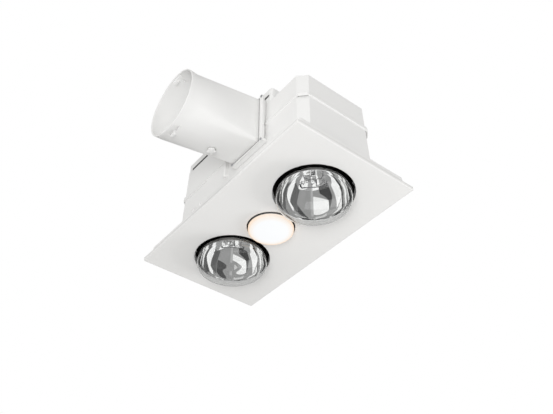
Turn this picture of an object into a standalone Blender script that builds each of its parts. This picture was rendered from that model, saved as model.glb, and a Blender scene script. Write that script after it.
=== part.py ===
"""Bathroom ceiling heater: two heat lamps, a centre light and a ducted exhaust fan.

The frame: +Z points up into the ceiling, Z = 0 is the ceiling surface that the mounting
frame seats against, the long side of the fascia runs along X, and the duct leaves towards
-Y. The origin is the centre of the ceiling cut-out. All lengths are in metres.
"""
import math

import bmesh
import bpy
from mathutils import Matrix, Vector

# Driving dimensions
FASCIA_LENGTH = 0.440
FASCIA_WIDTH = 0.245
FASCIA_LIP = 0.0065
FASCIA_WALL = 0.0025
FRAME_RISE = 0.020
FRAME_INSET = 0.0095
LAMP_SPACING = 0.228
LAMP_HOLE_RADIUS = 0.0685
LIGHT_HOLE_RADIUS = 0.042
HOUSING_END_MARGIN = 0.0385
HOUSING_SIDE_MARGIN = 0.0455
HOUSING_LENGTH = FASCIA_LENGTH - 2 * HOUSING_END_MARGIN
HOUSING_WIDTH = FASCIA_WIDTH - 2 * HOUSING_SIDE_MARGIN
HOUSING_HEIGHT = 0.1615
HOUSING_CHAMFER = 0.015
HOUSING_TAPER_SHARE = 0.027
SEAM_HEIGHT = 0.1075
DECK_END = 0.098
DECK_HEIGHT = 0.179
LID_HEIGHT = 0.199
BULB_RADIUS = 0.0628
LIGHT_RADIUS = 0.03975
DUCT_RADIUS = 0.063
DUCT_X = 0.016
DUCT_Z = 0.1215
DUCT_MOUTH_Y = -0.228

# Clearances and general wall sizes
CLEARANCE = 0.0003
OVERRUN = 0.002
PLASTIC_WALL = 0.0016
SHEET = 0.0012
MERGE = 0.00001

# Levels that several pieces share
FASCIA_BOTTOM = -(FRAME_RISE + FASCIA_LIP)
FASCIA_TOP = FASCIA_BOTTOM + FASCIA_LIP
FASCIA_INSIDE = FASCIA_BOTTOM + FASCIA_WALL
FRAME_PLATE = 0.002
FRAME_WALL = 0.002
FLANGE_TOP = -FRAME_PLATE - CLEARANCE
FLANGE_BOTTOM = FLANGE_TOP - PLASTIC_WALL
FLANGE_REACH = 0.008
CHASSIS_GAP = 0.0008
CHASSIS_TOP = FLANGE_BOTTOM - CHASSIS_GAP
CHASSIS_BOTTOM = CHASSIS_TOP - SHEET
LAMP_X = LAMP_SPACING / 2

ROUND_STEPS = 28
FINE_STEPS = 44
SMALL_STEPS = 12
MEDIUM_STEPS = 24
WIDE_STEPS = 32
CORNER_STEPS = 4
RIM_STEPS = 3


def clear_scene():
    for item in list(bpy.data.objects):
        bpy.data.objects.remove(item, do_unlink=True)


def new_collection(name):
    group = bpy.data.collections.new(name)
    bpy.context.scene.collection.children.link(group)
    return group


clear_scene()
PARTS = new_collection("bathroom_ceiling_heater")
CUTTERS = new_collection("cutters")


def principled(name, colour, roughness, metallic=0.0, transmission=0.0):
    material = bpy.data.materials.new(name)
    material.use_nodes = True
    shader = material.node_tree.nodes["Principled BSDF"]
    shader.inputs["Base Color"].default_value = (*colour, 1.0)
    shader.inputs["Roughness"].default_value = roughness
    shader.inputs["Metallic"].default_value = metallic
    shader.inputs["Transmission Weight"].default_value = transmission
    material.diffuse_color = (*colour, 1.0)
    return material


WHITE_GLOSS = principled("white_gloss_panel", (0.80, 0.80, 0.79), 0.28)
WHITE_PLASTIC = principled("white_moulding", (0.80, 0.80, 0.79), 0.42)
BLACK_STEEL = principled("black_painted_steel", (0.02, 0.02, 0.02), 0.5)
ZINC_STEEL = principled("zinc_plated_steel", (0.62, 0.63, 0.64), 0.35, 1.0)
SPRING_STEEL = principled("spring_steel", (0.70, 0.70, 0.70), 0.22, 1.0)
CLEAR_GLASS = principled("clear_bulb_glass", (0.95, 0.96, 0.97), 0.03, 0.0, 1.0)
OPAL = principled("opal_diffuser", (0.95, 0.92, 0.86), 0.35)
ALUMINIUM = principled("aluminium", (0.75, 0.76, 0.77), 0.38, 1.0)
CERAMIC = principled("white_ceramic", (0.86, 0.85, 0.81), 0.3)
TUNGSTEN = principled("tungsten_wire", (0.35, 0.35, 0.36), 0.35, 1.0)
BLACK_PLASTIC = principled("black_moulding", (0.03, 0.03, 0.03), 0.45)
BRONZE = principled("sintered_bronze", (0.55, 0.36, 0.2), 0.4, 1.0)
BOARD = principled("circuit_board", (0.85, 0.87, 0.86), 0.4)
RUBBER = principled("black_rubber", (0.025, 0.025, 0.025), 0.8)


def add_object(name, bm, material, smooth_angle=None, group=PARTS):
    mesh = bpy.data.meshes.new(name)
    bm.to_mesh(mesh)
    bm.free()
    if smooth_angle is not None:
        mesh.shade_smooth()
        mesh.set_sharp_from_angle(angle=math.radians(smooth_angle))
    piece = bpy.data.objects.new(name, mesh)
    if material is not None:
        mesh.materials.append(material)
    group.objects.link(piece)
    return piece


def add_block(bm, low, high):
    made = bmesh.ops.create_cube(bm, size=1.0)["verts"]
    size = [b - a for a, b in zip(low, high)]
    middle = [(a + b) / 2 for a, b in zip(low, high)]
    bmesh.ops.scale(bm, vec=size, verts=made)
    bmesh.ops.translate(bm, vec=middle, verts=made)
    return made


def add_cylinder(bm, radius, start, end, steps=ROUND_STEPS):
    """Adds a round bar between two points."""
    axis = Vector(end) - Vector(start)
    place = Matrix.Translation((Vector(start) + Vector(end)) / 2)
    turn = Vector((0, 0, 1)).rotation_difference(axis).to_matrix().to_4x4()
    made = bmesh.ops.create_cone(bm, cap_ends=True, segments=steps, radius1=radius,
                                 radius2=radius, depth=axis.length, matrix=place @ turn)
    return made["verts"]


def block(name, low, high, material, group=PARTS):
    bm = bmesh.new()
    add_block(bm, low, high)
    return add_object(name, bm, material, group=group)


def hide_as_cutter(piece):
    piece.hide_render = True
    piece.display_type = "WIRE"
    return piece


def box_cutter(low, high):
    return hide_as_cutter(block("cut_box", low, high, None, CUTTERS))


def round_cutter(radius, start, end, steps=ROUND_STEPS):
    bm = bmesh.new()
    add_cylinder(bm, radius, start, end, steps)
    return hide_as_cutter(add_object("cut_round", bm, None, group=CUTTERS))


def combine(piece, tool, operation="DIFFERENCE"):
    step = piece.modifiers.new(operation.lower(), "BOOLEAN")
    step.operation = operation
    step.object = tool
    step.solver = "EXACT"
    return piece


def join_block(piece, low, high):
    return combine(piece, box_cutter(low, high), "UNION")


def join_round(piece, radius, start, end, steps=ROUND_STEPS):
    return combine(piece, round_cutter(radius, start, end, steps), "UNION")


def cut_block(piece, low, high):
    return combine(piece, box_cutter(low, high))


def cut_round(piece, radius, start, end, steps=ROUND_STEPS):
    return combine(piece, round_cutter(radius, start, end, steps))


def thicken(piece, wall):
    step = piece.modifiers.new("wall", "SOLIDIFY")
    step.thickness = wall
    step.offset = -1.0
    step.use_even_offset = True
    return piece


def turned(name, profile, material, at=(0, 0, 0), axis="Z", steps=ROUND_STEPS, closed=False):
    """Turns a profile of (radius, height) points round its axis.

    The outer side runs from top to bottom. A profile that starts and ends on the axis is
    left open, and a ring's profile is closed.
    """
    mesh = bpy.data.meshes.new(name)
    points = [(radius, 0, height) for radius, height in profile]
    edges = [(n, n + 1) for n in range(len(points) - 1)]
    if closed:
        edges.append((len(points) - 1, 0))
    mesh.from_pydata(points, edges, [])
    mesh.materials.append(material)
    piece = bpy.data.objects.new(name, mesh)
    PARTS.objects.link(piece)
    screw = piece.modifiers.new("turn", "SCREW")
    screw.axis = "Z"
    screw.steps = steps
    screw.render_steps = steps
    screw.use_merge_vertices = True
    screw.merge_threshold = MERGE
    screw.use_smooth_shade = True
    piece.location = at
    if axis == "X":
        piece.rotation_euler = (0, math.pi / 2, 0)
    return piece


def arc(centre, radius, start, end, steps):
    """Points on an arc, the angles in degrees."""
    points = []
    for n in range(steps + 1):
        angle = math.radians(start + (end - start) * n / steps)
        points.append((centre[0] + radius * math.cos(angle),
                       centre[1] + radius * math.sin(angle)))
    return points


def strip_outline(path, thickness):
    """The closed outline of a strip of sheet folded along a path, with mitred folds."""
    half = thickness / 2
    left, right = [], []
    for n, (y, z) in enumerate(path):
        before = path[max(n - 1, 0)]
        after = path[min(n + 1, len(path) - 1)]
        into = Vector((y - before[0], z - before[1])) if n else None
        out = Vector((after[0] - y, after[1] - z)) if n < len(path) - 1 else None
        into = (into or out).normalized()
        out = (out or into).normalized()
        side = Vector((-into.y - out.y, into.x + out.x)).normalized()
        reach = half / side.dot(Vector((-into.y, into.x)))
        left.append((y + side.x * reach, z + side.y * reach))
        right.append((y - side.x * reach, z - side.y * reach))
    return left + right[::-1]


def bent_strip(bm, path, width, thickness, place):
    """Folds a strip along a path in its own YZ plane and sets it by a matrix."""
    outline = strip_outline(path, thickness)
    face = bm.faces.new([bm.verts.new((-width / 2, y, z)) for y, z in outline])
    first = list(face.verts)
    made = bmesh.ops.extrude_face_region(bm, geom=[face])["geom"]
    moved = [item for item in made if isinstance(item, bmesh.types.BMVert)]
    bmesh.ops.translate(bm, vec=(width, 0, 0), verts=moved)
    bmesh.ops.transform(bm, matrix=place, verts=list(set(first + moved)))
    bmesh.ops.recalc_face_normals(bm, faces=list(bm.faces))


def half_length(z):
    """Half the housing's outer length at a height."""
    return HOUSING_LENGTH / 2 + (HOUSING_HEIGHT - z) * HOUSING_TAPER_SHARE


def half_width(z):
    """Half the housing's outer width at a height."""
    return HOUSING_WIDTH / 2 + (HOUSING_HEIGHT - z) * HOUSING_TAPER_SHARE


def inner_half_width(z):
    return half_width(z) - PLASTIC_WALL


def vertical_edges(bm, keep=lambda edge: True):
    found = []
    for edge in bm.edges:
        a, b = (v.co for v in edge.verts)
        if math.hypot(a.x - b.x, a.y - b.y) < MERGE and keep(edge):
            found.append(edge)
    return found


def add_prism(bm, low, high, corner, steps=1):
    """A block with its four upright edges cut or rounded."""
    add_block(bm, low, high)
    bmesh.ops.bevel(bm, geom=vertical_edges(bm), offset=corner, segments=steps,
                    profile=0.5, affect="EDGES")


def faces_at(bm, z):
    return [f for f in bm.faces if all(abs(v.co.z - z) < MERGE for v in f.verts)]


def rim_at(bm, z):
    return [e for e in bm.edges if e.is_boundary
            and all(abs(v.co.z - z) < MERGE for v in e.verts)]


def grow(verts, distance, centre_x=0.0):
    """Moves an outline's points outwards, square to its long and short sides."""
    for vert in verts:
        vert.co.x += distance * math.copysign(1, vert.co.x - centre_x)
        vert.co.y += distance * math.copysign(1, vert.co.y)


def extend_rim(bm, z, rise, reach, centre_x=0.0):
    """Extrudes an open rim up or down and outwards or inwards, and returns its new level."""
    made = bmesh.ops.extrude_edge_only(bm, edges=rim_at(bm, z))["geom"]
    verts = [item for item in made if isinstance(item, bmesh.types.BMVert)]
    bmesh.ops.translate(bm, vec=(0, 0, rise), verts=verts)
    grow(verts, reach, centre_x)
    return z + rise


def face_outwards(bm, middle):
    """Turns an open shell's faces away from its middle line."""
    bmesh.ops.recalc_face_normals(bm, faces=list(bm.faces))
    side = max(bm.faces, key=lambda f: abs(f.normal.y) * f.calc_area())
    if side.normal.y * (side.calc_center_median().y - middle) < 0:
        bmesh.ops.reverse_faces(bm, faces=list(bm.faces))


# Fascia: a shallow tray with three collared holes

COLLAR_WALL = 0.001
COLLAR_TOP = -0.017
FASCIA_EDGE_RADIUS = 0.0013
CLIP_MARGIN = 0.0185
CLIP_X = FASCIA_LENGTH / 2 - CLIP_MARGIN
CLIP_WIDTH = 0.012
CLIP_STRIP = 0.0005
CLIP_WAIST = 0.0021
CLIP_BULGE = 0.0034
CLIP_CROWN = 0.0085
CLIP_SHOULDER = 0.003
LUG_LENGTH = 0.014
LUG_THICKNESS = 0.003
LUG_TOP = -0.014
CLIP_SLOT_HALF_WIDTH = CLIP_BULGE + CLIP_STRIP / 2 + 2 * CLEARANCE

LAMP_PLACES = {"left": -LAMP_X, "right": LAMP_X}
CLIP_PLACES = {"left": -CLIP_X, "right": CLIP_X}


def opening_places():
    """The centre and hole radius of each lamp and of the light."""
    return [(-LAMP_X, LAMP_HOLE_RADIUS), (0.0, LIGHT_HOLE_RADIUS), (LAMP_X, LAMP_HOLE_RADIUS)]


def make_fascia_panel():
    half_x, half_y = FASCIA_LENGTH / 2, FASCIA_WIDTH / 2
    bm = bmesh.new()
    add_block(bm, (-half_x, -half_y, FASCIA_BOTTOM), (half_x, half_y, FASCIA_TOP))
    low_edges = [e for e in bm.edges
                 if all(abs(v.co.z - FASCIA_BOTTOM) < MERGE for v in e.verts)]
    bmesh.ops.bevel(bm, geom=low_edges + vertical_edges(bm), offset=FASCIA_EDGE_RADIUS,
                    segments=2, profile=0.5, affect="EDGES")
    panel = add_object("fascia_panel", bm, WHITE_GLOSS, 40)
    inner_x, inner_y = half_x - FASCIA_WALL, half_y - FASCIA_WALL
    cut_block(panel, (-inner_x, -inner_y, FASCIA_INSIDE),
              (inner_x, inner_y, FASCIA_TOP + OVERRUN))
    middle_of_plate = FASCIA_BOTTOM + FASCIA_WALL / 2
    for x, radius in opening_places():
        join_round(panel, radius + COLLAR_WALL, (x, 0, middle_of_plate),
                   (x, 0, COLLAR_TOP), FINE_STEPS)
    for x, radius in opening_places():
        cut_round(panel, radius, (x, 0, FASCIA_BOTTOM - OVERRUN),
                  (x, 0, COLLAR_TOP + OVERRUN), FINE_STEPS)
    for x in CLIP_PLACES.values():
        join_block(panel, (x - LUG_THICKNESS / 2, -LUG_LENGTH / 2, middle_of_plate),
                   (x + LUG_THICKNESS / 2, LUG_LENGTH / 2, LUG_TOP))


def make_fascia_clip(side):
    """A folded spring strip over the lug, which snaps into the frame's end slot."""
    foot = FASCIA_INSIDE + CLEARANCE
    leg = [(-CLIP_WAIST, foot), (-CLIP_WAIST, -CLIP_SHOULDER), (-CLIP_BULGE, CLIP_SHOULDER)]
    crown = [(-CLIP_WAIST, CLIP_CROWN), (CLIP_WAIST, CLIP_CROWN)]
    path = leg + crown + [(-y, z) for y, z in reversed(leg)]
    turn = Matrix.Rotation(math.pi / 2, 4, "Z")
    bm = bmesh.new()
    bent_strip(bm, path, CLIP_WIDTH, CLIP_STRIP,
               Matrix.Translation((CLIP_PLACES[side], 0, 0)) @ turn)
    bmesh.ops.recalc_face_normals(bm, faces=list(bm.faces))
    add_object(f"fascia_spring_clip_{side}", bm, SPRING_STEEL)


# Bright spring rings on the collars, whose fingers centre the bulbs

FINGER_ANGLES = {"left": (-112, -20, 68, 160), "right": (-64, -22, 32, 150)}
FINGER_WIDTH = 0.005
RING_STRIP = 0.0005
RING_GAP = 0.0004
RING_SKIRT = 0.0045
FINGER_DROP = 0.0065
FINGER_NOSE = 0.0022


def make_bulb_ring(side):
    """A hooked ring over the collar, with short fingers that bend in at the bulb."""
    inner = LAMP_HOLE_RADIUS - RING_GAP - RING_STRIP
    outer = LAMP_HOLE_RADIUS + COLLAR_WALL + RING_GAP + RING_STRIP
    top = COLLAR_TOP + RING_GAP + RING_STRIP
    under = top - RING_STRIP
    profile = [(outer, top), (outer, top - RING_SKIRT), (outer - RING_STRIP, top - RING_SKIRT),
               (outer - RING_STRIP, under), (inner, under), (inner, top)]
    ring = turned(f"bulb_spring_ring_{side}", profile, SPRING_STEEL,
                  (LAMP_PLACES[side], 0, 0), steps=FINE_STEPS, closed=True)
    middle = inner + RING_STRIP / 2
    path = [(middle, top - RING_STRIP / 4), (middle, top - FINGER_DROP),
            (middle - FINGER_NOSE, top - FINGER_DROP - FINGER_NOSE)]
    for angle in FINGER_ANGLES[side]:
        bm = bmesh.new()
        turn = Matrix.Rotation(math.radians(angle - 90), 4, "Z")
        place = Matrix.Translation((LAMP_PLACES[side], 0, 0)) @ turn
        bent_strip(bm, path, FINGER_WIDTH, RING_STRIP, place)
        bmesh.ops.recalc_face_normals(bm, faces=list(bm.faces))
        combine(ring, hide_as_cutter(add_object("cut_finger", bm, None, group=CUTTERS)),
                "UNION")


# Mounting frame: seats on the ceiling, with slots for the fascia's clips

FRAME_CORNER = 0.006
FIXING_END_MARGIN = 0.024
FIXING_SIDE_MARGIN = 0.0505
FIXING_X = FASCIA_LENGTH / 2 - FIXING_END_MARGIN
FIXING_Y = FASCIA_WIDTH / 2 - FIXING_SIDE_MARGIN
FIXING_RADIUS = 0.0025
HOUSING_OPENING_EXTRA = 0.0004
SCREW_RADIUS = 0.0019
SCREW_HOLE_RADIUS = SCREW_RADIUS + CLEARANCE
FLANGE_SCREW_PLACES = [(x * LAMP_X, side) for x in (-1, 0, 1) for side in (-1, 1)]


def flange_screw_y(side):
    return side * (half_width(FLANGE_TOP) + FLANGE_REACH / 2)


def octagon_cutter(extra, low, high):
    bm = bmesh.new()
    add_prism(bm, (-half_length(0) - extra, -half_width(0) - extra, low),
              (half_length(0) + extra, half_width(0) + extra, high), HOUSING_CHAMFER)
    return hide_as_cutter(add_object("cut_octagon", bm, None, group=CUTTERS))


def make_mounting_frame():
    half_x, half_y = FASCIA_LENGTH / 2 - FRAME_INSET, FASCIA_WIDTH / 2 - FRAME_INSET
    bottom = FASCIA_INSIDE + CLEARANCE
    bm = bmesh.new()
    add_prism(bm, (-half_x, -half_y, bottom), (half_x, half_y, 0), FRAME_CORNER, 3)
    frame = add_object("mounting_frame", bm, WHITE_PLASTIC, 40)
    pocket = bmesh.new()
    add_prism(pocket, (FRAME_WALL - half_x, FRAME_WALL - half_y, bottom - OVERRUN),
              (half_x - FRAME_WALL, half_y - FRAME_WALL, -FRAME_PLATE),
              FRAME_CORNER - FRAME_WALL, 2)
    combine(frame, hide_as_cutter(add_object("cut_pocket", pocket, None, group=CUTTERS)))
    combine(frame, octagon_cutter(HOUSING_OPENING_EXTRA, -FRAME_PLATE - OVERRUN, OVERRUN))
    half_slot = CLIP_WIDTH / 2 + 2 * CLEARANCE
    for x in CLIP_PLACES.values():
        cut_block(frame, (x - CLIP_SLOT_HALF_WIDTH, -half_slot, -FRAME_PLATE - OVERRUN),
                  (x + CLIP_SLOT_HALF_WIDTH, half_slot, OVERRUN))
    for x, side in FLANGE_SCREW_PLACES:
        y = flange_screw_y(side)
        cut_round(frame, SCREW_HOLE_RADIUS, (x, y, -FRAME_PLATE - OVERRUN), (x, y, OVERRUN),
                  SMALL_STEPS)
    for x in (-FIXING_X, FIXING_X):
        for y in (-FIXING_Y, FIXING_Y):
            cut_round(frame, FIXING_RADIUS, (x, y, -FRAME_PLATE - OVERRUN), (x, y, OVERRUN))


# Lower housing: a tapered chamfered tube with a bottom flange

LOWER_TUCK = 0.0044
LOWER_TOP = SEAM_HEIGHT + LOWER_TUCK
RIB_X = -0.0275
RIB_RADIUS = 0.0045
RIB_BOTTOM = 0.065
RIB_TOP = 0.1055
NECK_X0 = 0.0235
NECK_X1 = 0.0835
NECK_Z0 = 0.065
NECK_Z1 = 0.167
NECK_WALL = 0.0015
NECK_GAP = 0.0004


def cut_neck_opening(piece):
    cut_block(piece, (NECK_X0 - NECK_GAP, -HOUSING_WIDTH, NECK_Z0 - NECK_GAP),
              (NECK_X1 + NECK_GAP, -HOUSING_WIDTH / 4, NECK_Z1 + NECK_GAP))


def taper(bm, z):
    """Sets every point at a level on the housing's leaning walls."""
    for vert in bm.verts:
        if abs(vert.co.z - z) < MERGE:
            vert.co.x += (half_length(z) - half_length(0)) * math.copysign(1, vert.co.x)
            vert.co.y += (half_width(z) - half_width(0)) * math.copysign(1, vert.co.y)


def leaning_prism(name, extra, low, high, group=CUTTERS):
    """The housing's chamfered outline, grown by an extra and leaning as its walls do."""
    bm = bmesh.new()
    add_prism(bm, (-half_length(0) - extra, -half_width(0) - extra, low),
              (half_length(0) + extra, half_width(0) + extra, high), HOUSING_CHAMFER)
    taper(bm, low)
    taper(bm, high)
    return add_object(name, bm, WHITE_PLASTIC, 30, group)


def make_lower_housing():
    bm = bmesh.new()
    add_prism(bm, (-half_length(0), -half_width(0), FLANGE_TOP),
              (half_length(0), half_width(0), LOWER_TOP), HOUSING_CHAMFER)
    bmesh.ops.delete(bm, geom=faces_at(bm, FLANGE_TOP) + faces_at(bm, LOWER_TOP),
                     context="FACES_ONLY")
    taper(bm, FLANGE_TOP)
    taper(bm, LOWER_TOP)
    extend_rim(bm, FLANGE_TOP, 0, FLANGE_REACH)
    face_outwards(bm, 0)
    housing = add_object("lower_housing", bm, WHITE_PLASTIC, 30)
    thicken(housing, PLASTIC_WALL)
    cut_neck_opening(housing)
    for x, side in FLANGE_SCREW_PLACES:
        y = flange_screw_y(side)
        cut_round(housing, SCREW_HOLE_RADIUS, (x, y, FLANGE_BOTTOM - OVERRUN),
                  (x, y, FLANGE_TOP + OVERRUN), SMALL_STEPS)
    cut_side_screw_holes(housing, SEAM_SCREWS)
    rib_y = -half_width((RIB_BOTTOM + RIB_TOP) / 2)
    join_round(housing, RIB_RADIUS, (RIB_X, rib_y, RIB_BOTTOM), (RIB_X, rib_y, RIB_TOP),
               SMALL_STEPS)


# Upper housing: the seam bead, the walls, the step down at the right and the open deck

BEAD_HEIGHT = 0.006
BEAD_REACH = 0.002
BEAD_LIP_X = -0.094
BEAD_LIP_DROP = 0.0026
BEAD_LIP_WALL = 0.0015
DECK_CORNER = 0.007
SIDE_SCREW_RADIUS = 0.0013
SEAM_SCREW_RISE = 0.0024
SEAM_SCREW_Z = SEAM_HEIGHT + SEAM_SCREW_RISE
LID_SCREW_Z = 0.1745
LID_SCREW_X = 0.070
SEAM_SCREWS = [(-LAMP_X, 1, SEAM_SCREW_Z), (LAMP_X, 1, SEAM_SCREW_Z)]
LID_SCREWS = [(-LAMP_X, 1, LID_SCREW_Z), (LID_SCREW_X, 1, LID_SCREW_Z)]
CABLE_Z = 0.1565
CABLE_HOLE_RADIUS = 0.0085
BEAD_TOP = SEAM_HEIGHT + BEAD_HEIGHT


def cut_side_screw_holes(piece, places):
    for x, side, z in places:
        cut_round(piece, SIDE_SCREW_RADIUS + CLEARANCE, (x, side * HOUSING_WIDTH / 4, z),
                  (x, side * HOUSING_WIDTH, z), SMALL_STEPS)


def step_cutter(inset, low):
    """Takes away what lies right of the deck's rounded end, above a level."""
    end = DECK_END - inset
    corner = DECK_CORNER - inset
    side = half_width(HOUSING_HEIGHT) - inset + CLEARANCE
    outline = [(HOUSING_LENGTH, -HOUSING_WIDTH), (end - corner, -HOUSING_WIDTH)]
    outline += arc((end - corner, corner - side), corner, -90, 0, CORNER_STEPS)
    outline += arc((end - corner, side - corner), corner, 0, 90, CORNER_STEPS)
    outline += [(end - corner, HOUSING_WIDTH), (HOUSING_LENGTH, HOUSING_WIDTH)]
    bm = bmesh.new()
    face = bm.faces.new([bm.verts.new((x, y, low)) for x, y in outline])
    made = bmesh.ops.extrude_face_region(bm, geom=[face])["geom"]
    moved = [item for item in made if isinstance(item, bmesh.types.BMVert)]
    bmesh.ops.translate(bm, vec=(0, 0, HOUSING_HEIGHT), verts=moved)
    bmesh.ops.recalc_face_normals(bm, faces=list(bm.faces))
    return hide_as_cutter(add_object("cut_step", bm, None, group=CUTTERS))


def make_upper_housing():
    bead_middle = SEAM_HEIGHT + BEAD_HEIGHT / 2
    housing = leaning_prism("upper_housing", 0, bead_middle, DECK_HEIGHT, PARTS)
    combine(housing, step_cutter(0, HOUSING_HEIGHT))
    bead = leaning_prism("cut_bead", BEAD_REACH, SEAM_HEIGHT, BEAD_TOP)
    combine(housing, hide_as_cutter(bead), "UNION")
    lip_back = -half_width(SEAM_HEIGHT - BEAD_LIP_DROP) - CLEARANCE
    join_block(housing, (HOUSING_CHAMFER - half_length(SEAM_HEIGHT), lip_back - BEAD_LIP_WALL,
                         SEAM_HEIGHT - BEAD_LIP_DROP),
               (BEAD_LIP_X, lip_back, SEAM_HEIGHT + BEAD_HEIGHT / 2))
    inside = leaning_prism("cut_inside", -PLASTIC_WALL, SEAM_HEIGHT - OVERRUN,
                           DECK_HEIGHT + OVERRUN)
    combine(inside, step_cutter(PLASTIC_WALL, HOUSING_HEIGHT - PLASTIC_WALL))
    rebate = leaning_prism("cut_rebate", CLEARANCE, SEAM_HEIGHT - OVERRUN * 2,
                           LOWER_TOP + CLEARANCE)
    combine(inside, hide_as_cutter(rebate), "UNION")
    combine(housing, hide_as_cutter(inside))
    cut_neck_opening(housing)
    cut_side_screw_holes(housing, SEAM_SCREWS)
    cut_side_screw_holes(housing, LID_SCREWS)
    cut_round(housing, CABLE_HOLE_RADIUS + CLEARANCE, (-HOUSING_LENGTH, 0, CABLE_Z),
              (-HOUSING_LENGTH / 4, 0, CABLE_Z), MEDIUM_STEPS)


# Lid: stands a little clear of the deck's rim, with an inner skirt on three sides

LID_GAP = 0.0022
LID_BOTTOM = DECK_HEIGHT + LID_GAP
LID_INSET = 0.0008
LID_SKIRT_GAP = 0.0004
LID_SKIRT_INSET = PLASTIC_WALL + LID_SKIRT_GAP - LID_INSET
LID_SKIRT_DROP = 0.010
LID_EDGE_RADIUS = 0.002
LID_SLOT_X0 = -0.156
LID_SLOT_DEPTH = 0.006


def make_fan_cover_lid():
    back = half_width(DECK_HEIGHT) - LID_INSET
    left = -half_length(DECK_HEIGHT) + LID_INSET
    right = DECK_END - LID_INSET
    middle = (left + right) / 2
    bm = bmesh.new()
    add_block(bm, (left, -back, LID_BOTTOM), (right, back, LID_HEIGHT))
    ends = vertical_edges(bm, lambda e: e.verts[0].co.x < middle)
    bmesh.ops.bevel(bm, geom=ends, offset=HOUSING_CHAMFER, segments=1, affect="EDGES")
    ends = vertical_edges(bm, lambda e: e.verts[0].co.x > middle)
    bmesh.ops.bevel(bm, geom=ends, offset=DECK_CORNER, segments=3, profile=0.5,
                    affect="EDGES")
    top = [e for f in faces_at(bm, LID_HEIGHT) for e in f.edges]
    bmesh.ops.bevel(bm, geom=top, offset=LID_EDGE_RADIUS, segments=2, profile=0.5,
                    affect="EDGES")
    bmesh.ops.delete(bm, geom=faces_at(bm, LID_BOTTOM), context="FACES_ONLY")
    extend_rim(bm, LID_BOTTOM, 0, -LID_SKIRT_INSET, middle)
    made = bmesh.ops.extrude_edge_only(bm, edges=rim_at(bm, LID_BOTTOM))["geom"]
    verts = [item for item in made if isinstance(item, bmesh.types.BMVert)]
    bmesh.ops.translate(bm, vec=(0, 0, -LID_SKIRT_DROP), verts=verts)
    face_outwards(bm, 0)
    lid = add_object("fan_cover_lid", bm, WHITE_PLASTIC, 30)
    thicken(lid, PLASTIC_WALL)
    cut_side_screw_holes(lid, LID_SCREWS)
    cut_block(lid, (LID_SLOT_X0, -back - OVERRUN, LID_BOTTOM - LID_SKIRT_DROP - OVERRUN),
              (right - DECK_CORNER / 2, LID_SLOT_DEPTH - back, LID_BOTTOM + CLEARANCE))


# Chassis plate and the shrouds round the lamps

SHROUD_WALL = 0.0008
SHROUD_GAP = 0.0004
SHROUD_BOTTOM = -0.0115
SHROUD_TOP = 0.046
SHROUD_TOP_RADIUS = 0.053
CHASSIS_HOLE_EXTRA = 0.0008


def make_chassis_plate():
    bm = bmesh.new()
    reach = FLANGE_REACH - CLEARANCE
    add_prism(bm, (-half_length(0) - reach, -half_width(0) - reach, CHASSIS_BOTTOM),
              (half_length(0) + reach, half_width(0) + reach, CHASSIS_TOP), HOUSING_CHAMFER)
    plate = add_object("chassis_plate", bm, BLACK_STEEL)
    for x, radius in opening_places():
        cut_round(plate, radius + CHASSIS_HOLE_EXTRA, (x, 0, CHASSIS_BOTTOM - OVERRUN),
                  (x, 0, CHASSIS_TOP + OVERRUN), FINE_STEPS)
    for x, side in FLANGE_SCREW_PLACES:
        y = flange_screw_y(side)
        cut_round(plate, SCREW_HOLE_RADIUS, (x, y, CHASSIS_BOTTOM - OVERRUN),
                  (x, y, CHASSIS_TOP + OVERRUN), SMALL_STEPS)


def make_shroud(side):
    base = LAMP_HOLE_RADIUS + CHASSIS_HOLE_EXTRA - SHROUD_GAP
    shoulder = CHASSIS_TOP + SHROUD_WALL
    profile = [(SHROUD_TOP_RADIUS, SHROUD_TOP), (base, shoulder), (base, SHROUD_BOTTOM),
               (base - SHROUD_WALL, SHROUD_BOTTOM), (base - SHROUD_WALL, shoulder),
               (SHROUD_TOP_RADIUS - SHROUD_WALL, SHROUD_TOP)]
    turned(f"lamp_shroud_{side}", profile, BLACK_STEEL, (LAMP_PLACES[side], 0, 0),
           steps=FINE_STEPS, closed=True)


# Heat lamps: a blown envelope, a screw cap and a filament on its stem

BULB_DROP = 0.0135
BULB_CENTRE_Z = FASCIA_BOTTOM - BULB_DROP
BULB_RIM_RADIUS = 0.0095
BULB_FACE_RADIUS = 0.270
BULB_GLASS = 0.0011
BULB_LENGTH = 0.138
BULB_HEIGHT_SHARES = (0.0, 0.10, 0.24, 0.42, 0.60, 0.74, 0.88, 0.935, 0.945, 1.0)
BULB_RADIUS_SHARES = (1.0, 0.984, 0.90, 0.715, 0.495, 0.35, 0.28, 0.225, 0.178, 0.165)
CAP_RADIUS = 0.0132
CAP_WALL = 0.0007
CAP_LENGTH = 0.024
CAP_THREADS = 4
CAP_PITCHES = 6
CAP_THREAD_DEPTH = 0.0009
CAP_TIP_RADIUS = 0.005
CAP_TIP_HEIGHT = 0.003
CAP_STEPS = 16


def bulb_side(inset):
    """The bulb's outline above its widest point, from the neck down."""
    points = []
    for height, radius in zip(BULB_HEIGHT_SHARES, BULB_RADIUS_SHARES):
        points.append((radius * BULB_RADIUS - inset, BULB_CENTRE_Z + height * BULB_LENGTH))
    return points[::-1]


def bulb_front(inset):
    """The rounded rim and the shallow face, from the widest point down to the tip."""
    rim = BULB_RIM_RADIUS - inset
    centre = BULB_RADIUS - BULB_RIM_RADIUS
    lean = math.asin(centre / (BULB_FACE_RADIUS - BULB_RIM_RADIUS))
    points = arc((centre, BULB_CENTRE_Z), rim, 0, math.degrees(lean) - 90, RIM_STEPS)
    face_centre = BULB_CENTRE_Z + (BULB_FACE_RADIUS - BULB_RIM_RADIUS) * math.cos(lean)
    face = arc((0, face_centre), BULB_FACE_RADIUS - inset, math.degrees(lean) - 90, -90,
               RIM_STEPS)
    points += face[1:]
    points[-1] = (0, points[-1][1])
    return points


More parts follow.
